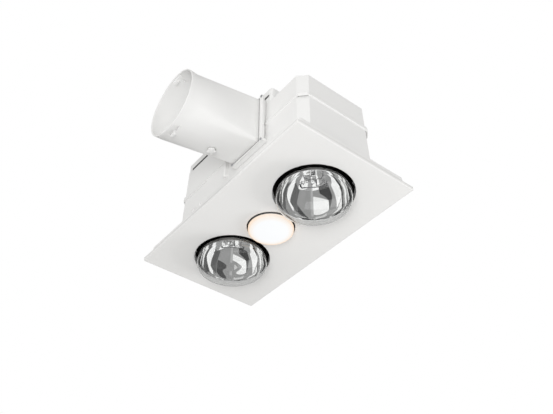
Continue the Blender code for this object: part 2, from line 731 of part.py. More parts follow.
def make_heat_lamp(side):
    x = LAMP_PLACES[side]
    at = (x, 0, 0)
    outside = bulb_side(0) + bulb_front(0)[1:]
    inside = bulb_side(BULB_GLASS) + bulb_front(BULB_GLASS)[1:]
    turned(f"heat_lamp_{side}_envelope", list(reversed(inside)) + outside, CLEAR_GLASS, at)
    make_cap(f"heat_lamp_{side}_cap", x, cap_bottom())
    make_filament(side, x)


def cap_bottom():
    return BULB_CENTRE_Z + BULB_LENGTH * BULB_HEIGHT_SHARES[-2] + CLEARANCE


def make_cap(name, x, bottom):
    """A screw cap: a thin threaded sleeve, closed at its top by the contact."""
    top = bottom + CAP_LENGTH
    pitch = CAP_LENGTH / CAP_PITCHES
    outer = [(0, top + CAP_TIP_HEIGHT), (CAP_TIP_RADIUS, top + CAP_TIP_HEIGHT),
             (CAP_TIP_RADIUS, top), (CAP_RADIUS - CAP_THREAD_DEPTH, top)]
    for n in range(CAP_THREADS):
        crest = top - pitch * (n + 1)
        outer.append((CAP_RADIUS, crest))
        outer.append((CAP_RADIUS - CAP_THREAD_DEPTH, crest - pitch / 2))
    outer.append((CAP_RADIUS, bottom))
    bore = CAP_RADIUS - CAP_THREAD_DEPTH - CAP_WALL
    outer += [(bore, bottom), (bore, top - CAP_WALL), (0, top - CAP_WALL)]
    turned(name, outer, ALUMINIUM, (x, 0, 0), steps=CAP_STEPS)


STEM_RADIUS = 0.0035
STEM_FLARE_RADIUS = 0.0065
STEM_BOTTOM = 0.018
FILAMENT_RADIUS = 0.017
FILAMENT_WIRE = 0.0007
FILAMENT_Z = 0.014
FILAMENT_POINTS = 17
FILAMENT_START = -60
FILAMENT_SWEEP = 300
FILAMENT_ZIGZAG = 0.004


def tube(name, points, radius, material, resolution=1):
    curve = bpy.data.curves.new(name, "CURVE")
    curve.dimensions = "3D"
    curve.bevel_depth = radius
    curve.bevel_resolution = resolution
    curve.use_fill_caps = True
    spline = curve.splines.new("POLY")
    spline.points.add(len(points) - 1)
    for spot, point in zip(spline.points, points):
        spot.co = (*point, 1.0)
    curve.materials.append(material)
    piece = bpy.data.objects.new(name, curve)
    PARTS.objects.link(piece)
    return piece


def filament_path(x):
    """Down a lead beside the stem, round in a zigzag and back up the other lead."""
    lead = STEM_RADIUS + FILAMENT_WIRE + CLEARANCE
    lead_top = STEM_BOTTOM + FILAMENT_ZIGZAG
    points = [(x + lead, 0, lead_top), (x + lead, 0, FILAMENT_Z)]
    for n in range(FILAMENT_POINTS):
        angle = math.radians(FILAMENT_START + FILAMENT_SWEEP * n / (FILAMENT_POINTS - 1))
        lift = FILAMENT_ZIGZAG * (n % 2)
        points.append((x + FILAMENT_RADIUS * math.cos(angle),
                       FILAMENT_RADIUS * math.sin(angle), FILAMENT_Z + lift))
    points += [(x - lead, 0, FILAMENT_Z), (x - lead, 0, lead_top)]
    return points


def make_filament(side, x):
    top = cap_bottom() + CAP_LENGTH - CAP_WALL - CLEARANCE
    flare = BULB_CENTRE_Z + BULB_LENGTH * BULB_HEIGHT_SHARES[-3]
    profile = [(0, top), (STEM_FLARE_RADIUS, top), (STEM_FLARE_RADIUS, flare),
               (STEM_RADIUS, STEM_BOTTOM + FILAMENT_RADIUS), (STEM_RADIUS, STEM_BOTTOM),
               (0, STEM_BOTTOM)]
    turned(f"heat_lamp_{side}_stem", profile, CLEAR_GLASS, (x, 0, 0), steps=SMALL_STEPS)
    tube(f"heat_lamp_{side}_filament", filament_path(x), FILAMENT_WIRE, TUNGSTEN)


# Centre light: an opal front, a light board, a turned body and a screw cap

LIGHT_DROP = 0.005
LIGHT_CENTRE_Z = FASCIA_BOTTOM - LIGHT_DROP
LIGHT_RIM_RADIUS = 0.005
LIGHT_FACE_RADIUS = 0.160
OPAL_WALL = 0.0015
OPAL_RISE = 0.003
LIGHT_SEAM = LIGHT_CENTRE_Z + OPAL_RISE
LIGHT_BODY_SHARES = ((1.0, 0.0), (0.985, 0.08), (0.87, 0.34), (0.64, 0.62), (0.43, 0.84),
                     (0.36, 1.0))
LIGHT_BODY_LENGTH = 0.066
BOARD_RADIUS = 0.033
BOARD_THICKNESS = 0.0016


def light_body_top():
    return LIGHT_SEAM + CLEARANCE + LIGHT_BODY_LENGTH


def make_light():
    def front(inset):
        rim = LIGHT_RIM_RADIUS - inset
        centre = LIGHT_RADIUS - LIGHT_RIM_RADIUS
        lean = math.asin(centre / (LIGHT_FACE_RADIUS - LIGHT_RIM_RADIUS))
        points = arc((centre, LIGHT_CENTRE_Z), rim, 0, math.degrees(lean) - 90, RIM_STEPS)
        reach = LIGHT_FACE_RADIUS - LIGHT_RIM_RADIUS
        face_centre = LIGHT_CENTRE_Z + reach * math.cos(lean)
        points += arc((0, face_centre), LIGHT_FACE_RADIUS - inset,
                      math.degrees(lean) - 90, -90, RIM_STEPS)[1:]
        points[-1] = (0, points[-1][1])
        return points

    rim_top = [(LIGHT_RADIUS - OPAL_WALL, LIGHT_SEAM), (LIGHT_RADIUS, LIGHT_SEAM)]
    turned("light_diffuser", list(reversed(front(OPAL_WALL))) + rim_top + front(0), OPAL)
    base = LIGHT_SEAM + CLEARANCE
    body = [(0, light_body_top())]
    for radius, height in reversed(LIGHT_BODY_SHARES):
        body.append((radius * LIGHT_RADIUS, base + height * LIGHT_BODY_LENGTH))
    body.append((0, base))
    turned("light_body", body, ALUMINIUM)
    board_top = LIGHT_SEAM
    turned("light_board", [(0, board_top), (BOARD_RADIUS, board_top),
                           (BOARD_RADIUS, board_top - BOARD_THICKNESS),
                           (0, board_top - BOARD_THICKNESS)], BOARD, steps=MEDIUM_STEPS)
    make_cap("light_cap", 0.0, light_body_top() + CLEARANCE)


# Lampholders on sheet bridges

HOLDER_RADIUS = 0.0195
HOLDER_SHOULDER_RADIUS = 0.0165
HOLDER_BORE_GAP = 0.0004
HOLDER_BACK = 0.012
HOLDER_SKIRT = 0.003
BRIDGE_WIDTH = 0.022
LIGHT_BRIDGE_WIDTH = 0.016
BRIDGE_SHEET = 0.0015
BRIDGE_FOOT = 0.014


def make_lampholder(name, x, bottom_of_cap):
    bottom = bottom_of_cap + HOLDER_SKIRT
    cap_end = bottom_of_cap + CAP_LENGTH + CAP_TIP_HEIGHT
    top = cap_end + HOLDER_BACK
    bore = CAP_RADIUS + HOLDER_BORE_GAP
    profile = [(0, top), (HOLDER_SHOULDER_RADIUS, top),
               (HOLDER_SHOULDER_RADIUS, top - HOLDER_BACK), (HOLDER_RADIUS, cap_end - HOLDER_BACK),
               (HOLDER_RADIUS, bottom), (bore, bottom), (bore, cap_end + CLEARANCE),
               (0, cap_end + CLEARANCE)]
    turned(name, profile, CERAMIC, (x, 0, 0), steps=MEDIUM_STEPS)
    return top


def make_bridge(name, x, holder_top, width):
    """A sheet strap over a lampholder, its feet turned down beside the side walls."""
    plate_bottom = holder_top + CLEARANCE
    plate_middle = plate_bottom + BRIDGE_SHEET / 2
    reach = inner_half_width(plate_middle) - CLEARANCE - BRIDGE_SHEET / 2
    path = [(-reach, plate_middle - BRIDGE_FOOT), (-reach, plate_middle),
            (reach, plate_middle), (reach, plate_middle - BRIDGE_FOOT)]
    bm = bmesh.new()
    bent_strip(bm, path, width, BRIDGE_SHEET, Matrix.Translation((x, 0, 0)))
    bmesh.ops.recalc_face_normals(bm, faces=list(bm.faces))
    add_object(name, bm, ZINC_STEEL)


# Blower: a volute wall with a closed back and a loose inlet plate, its axis along X

FAN_Y = 0.006
FAN_Z = 0.134
IMPELLER_RADIUS = 0.046
TONGUE_RADIUS = 0.051
VOLUTE_X0 = NECK_X0 + NECK_WALL
VOLUTE_X1 = NECK_X1 - NECK_WALL
VOLUTE_BOTTOM = NECK_Z0 + NECK_WALL
VOLUTE_TOP = NECK_Z1 - NECK_WALL
VOLUTE_END_Y = -0.0697
VOLUTE_STEPS = 18
INLET_RADIUS = 0.033
INLET_LIP = 0.004


def volute_outline(extra=0.0):
    """The casing's inner outline in Y and Z: outlet top, spiral, outlet bottom."""
    start = math.asin((VOLUTE_TOP - FAN_Z) / TONGUE_RADIUS)
    tongue = math.pi - start
    end_radius = FAN_Z - VOLUTE_BOTTOM
    sweep = tongue + math.pi / 2
    points = [(VOLUTE_END_Y, VOLUTE_TOP + extra)]
    for n in range(VOLUTE_STEPS + 1):
        share = n / VOLUTE_STEPS
        radius = TONGUE_RADIUS + (end_radius - TONGUE_RADIUS) * share + extra
        angle = tongue - sweep * share
        points.append((FAN_Y + radius * math.cos(angle), FAN_Z + radius * math.sin(angle)))
    points.append((VOLUTE_END_Y, VOLUTE_BOTTOM - extra))
    return points


def make_volute_wall():
    bm = bmesh.new()
    verts = [bm.verts.new((VOLUTE_X0, y, z)) for y, z in volute_outline(SHEET)]
    edges = [bm.edges.new(pair) for pair in zip(verts[:-1], verts[1:])]
    made = bmesh.ops.extrude_edge_only(bm, edges=edges)["geom"]
    moved = [item for item in made if isinstance(item, bmesh.types.BMVert)]
    bmesh.ops.translate(bm, vec=(VOLUTE_X1 - VOLUTE_X0, 0, 0), verts=moved)
    bmesh.ops.recalc_face_normals(bm, faces=list(bm.faces))
    lowest = min(bm.faces, key=lambda f: f.calc_center_median().z)
    if lowest.normal.z > 0:
        bmesh.ops.reverse_faces(bm, faces=list(bm.faces))
    casing = add_object("blower_casing", bm, ZINC_STEEL, 30)
    thicken(casing, SHEET)
    return casing


def side_plate(name, x0, x1, group=PARTS):
    bm = bmesh.new()
    face = bm.faces.new([bm.verts.new((x0, y, z)) for y, z in volute_outline(SHEET)])
    made = bmesh.ops.extrude_face_region(bm, geom=[face])["geom"]
    moved = [item for item in made if isinstance(item, bmesh.types.BMVert)]
    bmesh.ops.translate(bm, vec=(x1 - x0, 0, 0), verts=moved)
    bmesh.ops.recalc_face_normals(bm, faces=list(bm.faces))
    return add_object(name, bm, ZINC_STEEL, group=group)


def make_blower_casing():
    casing = make_volute_wall()
    inlet_face = VOLUTE_X0 - CLEARANCE
    plate = side_plate("blower_inlet_plate", inlet_face - SHEET, inlet_face)
    join_round(plate, INLET_RADIUS + SHEET, (inlet_face - SHEET, FAN_Y, FAN_Z),
               (inlet_face + INLET_LIP, FAN_Y, FAN_Z), WIDE_STEPS)
    cut_round(plate, INLET_RADIUS, (inlet_face - SHEET - OVERRUN, FAN_Y, FAN_Z),
              (inlet_face + INLET_LIP + OVERRUN, FAN_Y, FAN_Z), WIDE_STEPS)
    back = side_plate("cut_back", VOLUTE_X1 - SHEET, VOLUTE_X1 + CLEARANCE, CUTTERS)
    combine(casing, hide_as_cutter(back), "UNION")


# Impeller: a back disc with a hub, forward blades and a front ring

IMPELLER_FRONT_GAP = 0.0065
IMPELLER_BACK_GAP = 0.004
IMPELLER_X0 = VOLUTE_X0 + IMPELLER_FRONT_GAP
IMPELLER_X1 = VOLUTE_X1 - IMPELLER_BACK_GAP
IMPELLER_DISC = 0.0016
IMPELLER_RING = 0.0016
BLADE_COUNT = 24
BLADE_INNER_RADIUS = 0.037
BLADE_THICKNESS = 0.0009
BLADE_LEAN = 0.0035
SHAFT_RADIUS = 0.0030
SHAFT_FIT = 0.0002
HUB_RADIUS = 0.0085
HUB_LENGTH = 0.016


def make_impeller():
    back = IMPELLER_X1
    disc_front = back - IMPELLER_DISC
    bore = SHAFT_RADIUS + SHAFT_FIT
    bm = bmesh.new()
    add_cylinder(bm, IMPELLER_RADIUS, (disc_front, 0, 0), (back, 0, 0), BLADE_COUNT)
    impeller = add_object("impeller", bm, WHITE_PLASTIC, 30)
    impeller.location = (0, FAN_Y, FAN_Z)
    ring = hide_as_cutter(add_object("cut_ring", ring_mesh(), None, group=CUTTERS))
    ring.location = impeller.location
    blades = hide_as_cutter(add_object("cut_blades", blade_mesh(), None, group=CUTTERS))
    blades.location = impeller.location
    join_round(impeller, HUB_RADIUS, (back - HUB_LENGTH, FAN_Y, FAN_Z),
               (back - IMPELLER_DISC / 2, FAN_Y, FAN_Z), SMALL_STEPS)
    combine(impeller, blades, "UNION")
    combine(impeller, ring, "UNION")
    cut_round(impeller, bore, (back - HUB_LENGTH - OVERRUN, FAN_Y, FAN_Z),
              (back + OVERRUN, FAN_Y, FAN_Z), SMALL_STEPS)
    return impeller


def ring_mesh():
    """The impeller's front ring, as the difference of two round outlines."""
    bm = bmesh.new()
    steps = 2 * BLADE_COUNT
    for x in (IMPELLER_X0, IMPELLER_X0 + IMPELLER_RING):
        for radius in (IMPELLER_RADIUS, BLADE_INNER_RADIUS):
            for n in range(steps):
                angle = 2 * math.pi * n / steps
                bm.verts.new((x, radius * math.cos(angle), radius * math.sin(angle)))
    bm.verts.ensure_lookup_table()
    outer_a, inner_a, outer_b, inner_b = (range(k * steps, (k + 1) * steps) for k in range(4))
    for first, second in ((outer_a, inner_a), (inner_a, inner_b), (inner_b, outer_b),
                          (outer_b, outer_a)):
        for n in range(steps):
            m = (n + 1) % steps
            bm.faces.new([bm.verts[k] for k in (first[n], first[m], second[m], second[n])])
    bmesh.ops.recalc_face_normals(bm, faces=list(bm.faces))
    return bm


def blade_mesh():
    bm = bmesh.new()
    sink = IMPELLER_DISC / 2
    inner, outer = BLADE_INNER_RADIUS + BLADE_THICKNESS, IMPELLER_RADIUS - BLADE_THICKNESS
    for n in range(BLADE_COUNT):
        made = add_block(bm, (IMPELLER_X0 + sink, inner, -BLADE_THICKNESS / 2),
                         (IMPELLER_X1 - sink, outer, BLADE_THICKNESS / 2))
        for vert in made:
            vert.co.z += BLADE_LEAN * (vert.co.y - inner) / (outer - inner)
        turn = Matrix.Rotation(2 * math.pi * n / BLADE_COUNT, 4, "X")
        bmesh.ops.transform(bm, matrix=turn, verts=made)
    return bm


# Motor in front of the inlet, on a three-armed bracket with a rubber ring

MOTOR_RADIUS = 0.030
MOTOR_X0 = -0.046
MOTOR_X1 = 0.000
MOTOR_SHELL = 0.0012
MOTOR_BOSS_RADIUS = 0.011
MOTOR_BOSS_LENGTH = 0.005
BUSH_LENGTH = 0.005
BUSH_WALL = 0.0028
STATOR_RADIUS = MOTOR_RADIUS - MOTOR_SHELL - CLEARANCE
STATOR_LENGTH = 0.024
ROTOR_RADIUS = 0.0165
ROTOR_GAP = 0.0006
ARM_COUNT = 3
ARM_TURN_SHARE = 0.25
ARM_ROOT_SHARE = 0.667
ARM_WIDTH = 0.009
ARM_REACH = 0.043
ARM_SHEET = 0.0016
CUSHION_REACH = 0.004
CUSHION_LENGTH = 0.0045


def make_motor():
    at = (0, FAN_Y, FAN_Z)
    middle = (MOTOR_X0 + MOTOR_X1) / 2
    bore = SHAFT_RADIUS + BUSH_WALL + CLEARANCE
    for name, end, sign in (("motor_front_shell", MOTOR_X1, 1),
                            ("motor_rear_shell", MOTOR_X0, -1)):
        split = middle + sign * CLEARANCE
        inner_end = end - sign * MOTOR_SHELL
        boss = end + sign * MOTOR_BOSS_LENGTH
        profile = [(bore, boss), (MOTOR_BOSS_RADIUS, boss), (MOTOR_BOSS_RADIUS, end),
                   (MOTOR_RADIUS, end), (MOTOR_RADIUS, split),
                   (MOTOR_RADIUS - MOTOR_SHELL, split), (MOTOR_RADIUS - MOTOR_SHELL, inner_end),
                   (bore, inner_end)]
        if sign < 0:
            profile.reverse()
        turned(name, profile, ZINC_STEEL, at, "X", WIDE_STEPS, closed=True)
    half = STATOR_LENGTH / 2
    ring = [(STATOR_RADIUS, middle + half), (STATOR_RADIUS, middle - half),
            (ROTOR_RADIUS + ROTOR_GAP, middle - half), (ROTOR_RADIUS + ROTOR_GAP, middle + half)]
    turned("motor_stator", ring, ZINC_STEEL, at, "X", WIDE_STEPS, closed=True)
    rotor = [(ROTOR_RADIUS, middle + half), (ROTOR_RADIUS, middle - half),
             (SHAFT_RADIUS + SHAFT_FIT, middle - half), (SHAFT_RADIUS + SHAFT_FIT, middle + half)]
    turned("motor_rotor", rotor, ALUMINIUM, at, "X", MEDIUM_STEPS, closed=True)
    bm = bmesh.new()
    add_cylinder(bm, SHAFT_RADIUS, (MOTOR_X0 - MOTOR_BOSS_LENGTH, 0, 0),
                 (IMPELLER_X1 + CLEARANCE, 0, 0), SMALL_STEPS)
    shaft = add_object("motor_shaft", bm, SPRING_STEEL, 40)
    shaft.location = at
    for name, end, sign in (("motor_front_bush", MOTOR_X1, 1), ("motor_rear_bush", MOTOR_X0, -1)):
        near = end + sign * (MOTOR_BOSS_LENGTH - CLEARANCE)
        far = near - sign * BUSH_LENGTH
        high, low = max(near, far), min(near, far)
        bush = SHAFT_RADIUS + BUSH_WALL
        profile = [(bush, high), (bush, low), (SHAFT_RADIUS + SHAFT_FIT, low),
                   (SHAFT_RADIUS + SHAFT_FIT, high)]
        turned(name, profile, BRONZE, at, "X", SMALL_STEPS, closed=True)


def arm_turns():
    return [Matrix.Rotation(2 * math.pi * (n + ARM_TURN_SHARE) / ARM_COUNT, 4, "X")
            for n in range(ARM_COUNT)]


def make_motor_bracket():
    """A ring held on the motor's nose, and three arms that turn towards the inlet plate."""
    ring_x0 = MOTOR_X1 + CLEARANCE
    ring_x1 = ring_x0 + ARM_SHEET + CLEARANCE
    foot = VOLUTE_X0 - 2 * CLEARANCE - SHEET - CUSHION_LENGTH - CLEARANCE
    bm = bmesh.new()
    add_cylinder(bm, MOTOR_RADIUS - MOTOR_SHELL, (ring_x0, 0, 0), (ring_x1, 0, 0),
                 MEDIUM_STEPS)
    bracket = add_object("motor_bracket", bm, ZINC_STEEL)
    bracket.location = (0, FAN_Y, FAN_Z)
    middle = (ring_x0 + ring_x1) / 2
    path = [(middle, MOTOR_RADIUS * ARM_ROOT_SHARE), (middle, ARM_REACH - ARM_SHEET / 2),
            (foot, ARM_REACH - ARM_SHEET / 2)]
    to_axis = Matrix(((0, 1, 0, 0), (-1, 0, 0, 0), (0, 0, 1, 0), (0, 0, 0, 1)))
    for turn in arm_turns():
        arm = bmesh.new()
        bent_strip(arm, path, ARM_WIDTH, ARM_SHEET, turn @ to_axis)
        tool = hide_as_cutter(add_object("cut_arm", arm, None, group=CUTTERS))
        tool.location = bracket.location
        combine(bracket, tool, "UNION")
    cut_round(bracket, MOTOR_BOSS_RADIUS + CLEARANCE, (ring_x0 - OVERRUN, FAN_Y, FAN_Z),
              (ring_x1 + OVERRUN, FAN_Y, FAN_Z), MEDIUM_STEPS)
    near = foot + CLEARANCE
    middle = ARM_REACH - ARM_SHEET / 2
    ring = [(middle + CUSHION_REACH, near + CUSHION_LENGTH), (middle + CUSHION_REACH, near),
            (middle - CUSHION_REACH, near), (middle - CUSHION_REACH, near + CUSHION_LENGTH)]
    turned("motor_rubber_ring", ring, RUBBER, (0, FAN_Y, FAN_Z), "X", WIDE_STEPS,
           closed=True)


# Outlet neck, duct adaptor and damper

COLLAR_BACK_Y = -0.0852
COLLAR_THICKNESS = 0.0025
COLLAR_X0 = 0.003
COLLAR_X1 = 0.0895
COLLAR_Z0 = 0.0615
COLLAR_Z1 = 0.1745
COLLAR_LEDGE = 0.0065
ADAPTOR_WALL = 0.002
ADAPTOR_X0 = 0.006
ADAPTOR_X1 = 0.081
ADAPTOR_Z0 = 0.0645
ADAPTOR_Z1 = 0.1705
ADAPTOR_CORNER = 0.005
ADAPTOR_BACK_Y = COLLAR_BACK_Y - COLLAR_THICKNESS - CLEARANCE
ADAPTOR_FACE_Y = ADAPTOR_BACK_Y - ADAPTOR_WALL
FLANGE_HOLE_SHARE = 0.85
CORNER_SCREW_INSET = 0.0027
SPIGOT_LENGTH = 0.016
RIM_FLARE = 0.001
RIM_LAND = 0.002
SECTION_POINTS = 48
LOFT_SECTIONS = 4

DAMPER_Y = -0.141
PIVOT_BUSH_RADIUS = 0.0045
PIVOT_BUSH_FLANGE = 0.0065
PIVOT_BUSH_HEAD = 0.0016
BUSH_STAND_OFF = 0.0018
SPINDLE_RADIUS = 0.002
SPINDLE_GAP = 0.0003
DAMPER_SHORT = 0.024
DAMPER_LONG = 0.058
DAMPER_HALF_HEIGHT = 0.046
DAMPER_SHEET = 0.0015
DAMPER_HUB_RADIUS = 0.0042
DAMPER_SQUARENESS = 2.6
DAMPER_POINTS = 28
DAMPER_END_GAP = 0.0045
SPRING_COIL_RADIUS = 0.0034
SPRING_WIRE = 0.0003
SPRING_TURNS = 3
SPRING_POINTS = 9
SPRING_LEG = 0.012
SPRING_HOOK = 0.0025


def make_outlet_neck():
    """The square neck through the wall, the collar on it and the ledge that backs the collar."""
    front = COLLAR_BACK_Y - COLLAR_THICKNESS
    neck = block("outlet_neck", (NECK_X0, front, NECK_Z0),
                 (NECK_X1, VOLUTE_END_Y - CLEARANCE, NECK_Z1), WHITE_PLASTIC)
    join_block(neck, (COLLAR_X0, front, COLLAR_Z0), (COLLAR_X1, COLLAR_BACK_Y, COLLAR_Z1))
    join_block(neck, (COLLAR_X0, front + CLEARANCE, COLLAR_Z0),
               (COLLAR_X1, -half_width(COLLAR_Z0) - CLEARANCE, COLLAR_Z0 + COLLAR_LEDGE))
    cut_block(neck, (NECK_X0 + NECK_WALL, front - OVERRUN, NECK_Z0 + NECK_WALL),
              (NECK_X1 - NECK_WALL, VOLUTE_END_Y + OVERRUN, NECK_Z1 - NECK_WALL))
    for x, z in corner_screw_places():
        cut_round(neck, SIDE_SCREW_RADIUS, (x, front - OVERRUN, z),
                  (x, -half_width(COLLAR_Z0) + OVERRUN, z), SMALL_STEPS)


def corner_screw_places():
    return [(x, z) for x in (COLLAR_X0 + CORNER_SCREW_INSET, COLLAR_X1 - CORNER_SCREW_INSET)
            for z in (COLLAR_Z0 + CORNER_SCREW_INSET, COLLAR_Z1 - CORNER_SCREW_INSET)]


def square_ring(x0, x1, z0, z1, corner):
    """Points round a rectangle, the same number on each side and one on each cut corner."""
    corners = [(x1, z0), (x1, z1), (x0, z1), (x0, z0)]
    side = SECTION_POINTS // len(corners)
    points = []
    for n, (x, z) in enumerate(corners):
        next_x, next_z = corners[(n + 1) % len(corners)]
        for k in range(side):
            spot = Vector((x + (next_x - x) * k / side, z + (next_z - z) * k / side))
            inner = Vector((min(max(spot.x, x0 + corner), x1 - corner),
                            min(max(spot.y, z0 + corner), z1 - corner)))
            if (spot - inner).length > corner:
                spot = inner + (spot - inner).normalized() * corner
            points.append((spot.x, spot.y))
    return points


def duct_section(share, flare=0.0):
    """The adaptor's outline: 0 is the rectangular end and 1 is the round spigot."""
    flat = square_ring(ADAPTOR_X0, ADAPTOR_X1, ADAPTOR_Z0, ADAPTOR_Z1, ADAPTOR_CORNER)
    points = []
    for n, (x, z) in enumerate(flat):
        angle = 2 * math.pi * n / SECTION_POINTS - math.pi / 4
        ring_x = DUCT_X + (DUCT_RADIUS + flare) * math.cos(angle)
        ring_z = DUCT_Z + (DUCT_RADIUS + flare) * math.sin(angle)
        points.append((x + (ring_x - x) * share, z + (ring_z - z) * share))
    return points


def duct_share(y):
    return (ADAPTOR_FACE_Y - y) / (ADAPTOR_FACE_Y - DUCT_MOUTH_Y - SPIGOT_LENGTH)


def make_duct_adaptor():
    """A shell from the rectangular outlet to the round spigot, with a flange at its root."""
    loft_end = DUCT_MOUTH_Y + SPIGOT_LENGTH
    outlines = [(ADAPTOR_BACK_Y, duct_section(0.0))]
    for n in range(LOFT_SECTIONS + 1):
        share = n / LOFT_SECTIONS
        outlines.append((ADAPTOR_FACE_Y + (loft_end - ADAPTOR_FACE_Y) * share,
                         duct_section(share)))
    outlines.append((DUCT_MOUTH_Y + RIM_LAND, duct_section(1.0, RIM_FLARE)))
    outlines.append((DUCT_MOUTH_Y, duct_section(1.0, RIM_FLARE)))
    bm = bmesh.new()
    rings = [[bm.verts.new((x, y, z)) for x, z in outline] for y, outline in outlines]
    for near, far in zip(rings[:-1], rings[1:]):
        for n in range(SECTION_POINTS):
            m = (n + 1) % SECTION_POINTS
            bm.faces.new((near[n], near[m], far[m], far[n]))
    bmesh.ops.recalc_face_normals(bm, faces=list(bm.faces))
    top = max(bm.faces, key=lambda f: f.calc_center_median().z)
    if top.normal.z < 0:
        bmesh.ops.reverse_faces(bm, faces=list(bm.faces))
    adaptor = add_object("duct_adaptor", bm, WHITE_PLASTIC, 30)
    thicken(adaptor, ADAPTOR_WALL)
    flange = box_cutter((COLLAR_X0, ADAPTOR_FACE_Y, COLLAR_Z0),
                        (COLLAR_X1, ADAPTOR_BACK_Y + CLEARANCE / 2, COLLAR_Z1))
    inset = ADAPTOR_WALL * FLANGE_HOLE_SHARE
    cut_block(flange, (ADAPTOR_X0 + inset, ADAPTOR_FACE_Y - OVERRUN, ADAPTOR_Z0 + inset),
              (ADAPTOR_X1 - inset, ADAPTOR_BACK_Y + OVERRUN, ADAPTOR_Z1 - inset))
    combine(adaptor, flange, "UNION")
    for x, z in corner_screw_places():
        cut_round(adaptor, SIDE_SCREW_RADIUS + CLEARANCE, (x, ADAPTOR_FACE_Y - OVERRUN, z),
                  (x, ADAPTOR_BACK_Y + OVERRUN, z), SMALL_STEPS)
    cut_round(adaptor, PIVOT_BUSH_RADIUS + CLEARANCE, (DUCT_X, DAMPER_Y, duct_floor() - OVERRUN),
              (DUCT_X, DAMPER_Y, duct_roof() + OVERRUN), SMALL_STEPS)


def section_heights(y):
    """The lowest and highest outer points of the adaptor on the duct's middle line."""
    points = duct_section(duct_share(y))
    lowest, highest = [], []
    for (x0, z0), (x1, z1) in zip(points, points[1:] + points[:1]):
        if (x0 - DUCT_X) * (x1 - DUCT_X) <= 0 and x0 != x1:
            z = z0 + (z1 - z0) * (DUCT_X - x0) / (x1 - x0)
            (lowest if z < DUCT_Z else highest).append(z)
    return min(lowest), max(highest)


def duct_floor():
    return section_heights(DAMPER_Y)[0]


def duct_roof():
    return section_heights(DAMPER_Y)[1]


def make_damper():
    middle_z = (duct_floor() + duct_roof()) / 2
    low, high = middle_z - DAMPER_HALF_HEIGHT, middle_z + DAMPER_HALF_HEIGHT
    bm = bmesh.new()
    outline = []
    for n in range(DAMPER_POINTS):
        angle = 2 * math.pi * (n + 0.5) / DAMPER_POINTS
        across, up = math.cos(angle), math.sin(angle)
        reach = DAMPER_LONG if across > 0 else DAMPER_SHORT
        power = 2 / DAMPER_SQUARENESS
        outline.append((math.copysign(abs(across) ** power, across) * reach,
                        math.copysign(abs(up) ** power, up) * DAMPER_HALF_HEIGHT))
    face = bm.faces.new([bm.verts.new((x, -DAMPER_SHEET / 2, z)) for x, z in outline])
    made = bmesh.ops.extrude_face_region(bm, geom=[face])["geom"]
    moved = [item for item in made if isinstance(item, bmesh.types.BMVert)]
    bmesh.ops.translate(bm, vec=(0, DAMPER_SHEET, 0), verts=moved)
    bmesh.ops.recalc_face_normals(bm, faces=list(bm.faces))
    flap = add_object("damper_flap", bm, WHITE_PLASTIC)
    flap.location = (DUCT_X, DAMPER_Y, middle_z)
    join_round(flap, DAMPER_HUB_RADIUS, (DUCT_X, DAMPER_Y, low), (DUCT_X, DAMPER_Y, high),
               SMALL_STEPS)
    cut_round(flap, SPINDLE_RADIUS + SPINDLE_GAP, (DUCT_X, DAMPER_Y, low - OVERRUN),
              (DUCT_X, DAMPER_Y, high + OVERRUN), SMALL_STEPS)
    return low, high


def make_damper_pivots(low, high):
    bm = bmesh.new()
    add_cylinder(bm, SPINDLE_RADIUS, (0, 0, duct_floor() - PIVOT_BUSH_HEAD),
                 (0, 0, duct_roof() + PIVOT_BUSH_HEAD), SMALL_STEPS)
    spindle = add_object("damper_spindle", bm, SPRING_STEEL, 40)
    spindle.location = (DUCT_X, DAMPER_Y, 0)
    inner = SPINDLE_RADIUS + SPINDLE_GAP
    floor, roof = duct_floor(), duct_roof()
    places = (("damper_lower_bush", floor - BUSH_STAND_OFF, low - DAMPER_END_GAP, -1),
              ("damper_upper_bush", roof + BUSH_STAND_OFF, high + DAMPER_END_GAP, 1))
    for name, seat, inside, sign in places:
        head = seat + sign * PIVOT_BUSH_HEAD
        profile = [(inner, head), (PIVOT_BUSH_FLANGE, head), (PIVOT_BUSH_FLANGE, seat),
                   (PIVOT_BUSH_RADIUS, seat), (PIVOT_BUSH_RADIUS, inside), (inner, inside)]
        if sign < 0:
            profile.reverse()
        turned(name, profile, WHITE_PLASTIC, (DUCT_X, DAMPER_Y, 0), steps=SMALL_STEPS,
               closed=True)


def make_damper_spring(high):
    """A light torsion spring round the spindle between the hub and the upper bush."""
    bottom = high + CLEARANCE + SPRING_WIRE
    top = high + DAMPER_END_GAP - CLEARANCE - SPRING_WIRE
    count = SPRING_TURNS * SPRING_POINTS
    points = [(DUCT_X + SPRING_LEG, DAMPER_Y - SPRING_COIL_RADIUS, bottom)]
    for n in range(count + 1):
        angle = -math.pi / 2 + 2 * math.pi * n / SPRING_POINTS
        points.append((DUCT_X + SPRING_COIL_RADIUS * math.cos(angle),
                       DAMPER_Y + SPRING_COIL_RADIUS * math.sin(angle),
                       bottom + (top - bottom) * n / count))
    points.append((DUCT_X - SPRING_HOOK, DAMPER_Y - SPRING_COIL_RADIUS, top))
    tube("damper_spring", points, SPRING_WIRE, SPRING_STEEL)
    gap = (top - bottom) / SPRING_TURNS - 2 * SPRING_WIRE
    print(f"damper spring: least gap between turns {gap * 1000:.2f} mm")


# Electrical pieces in the raised left end

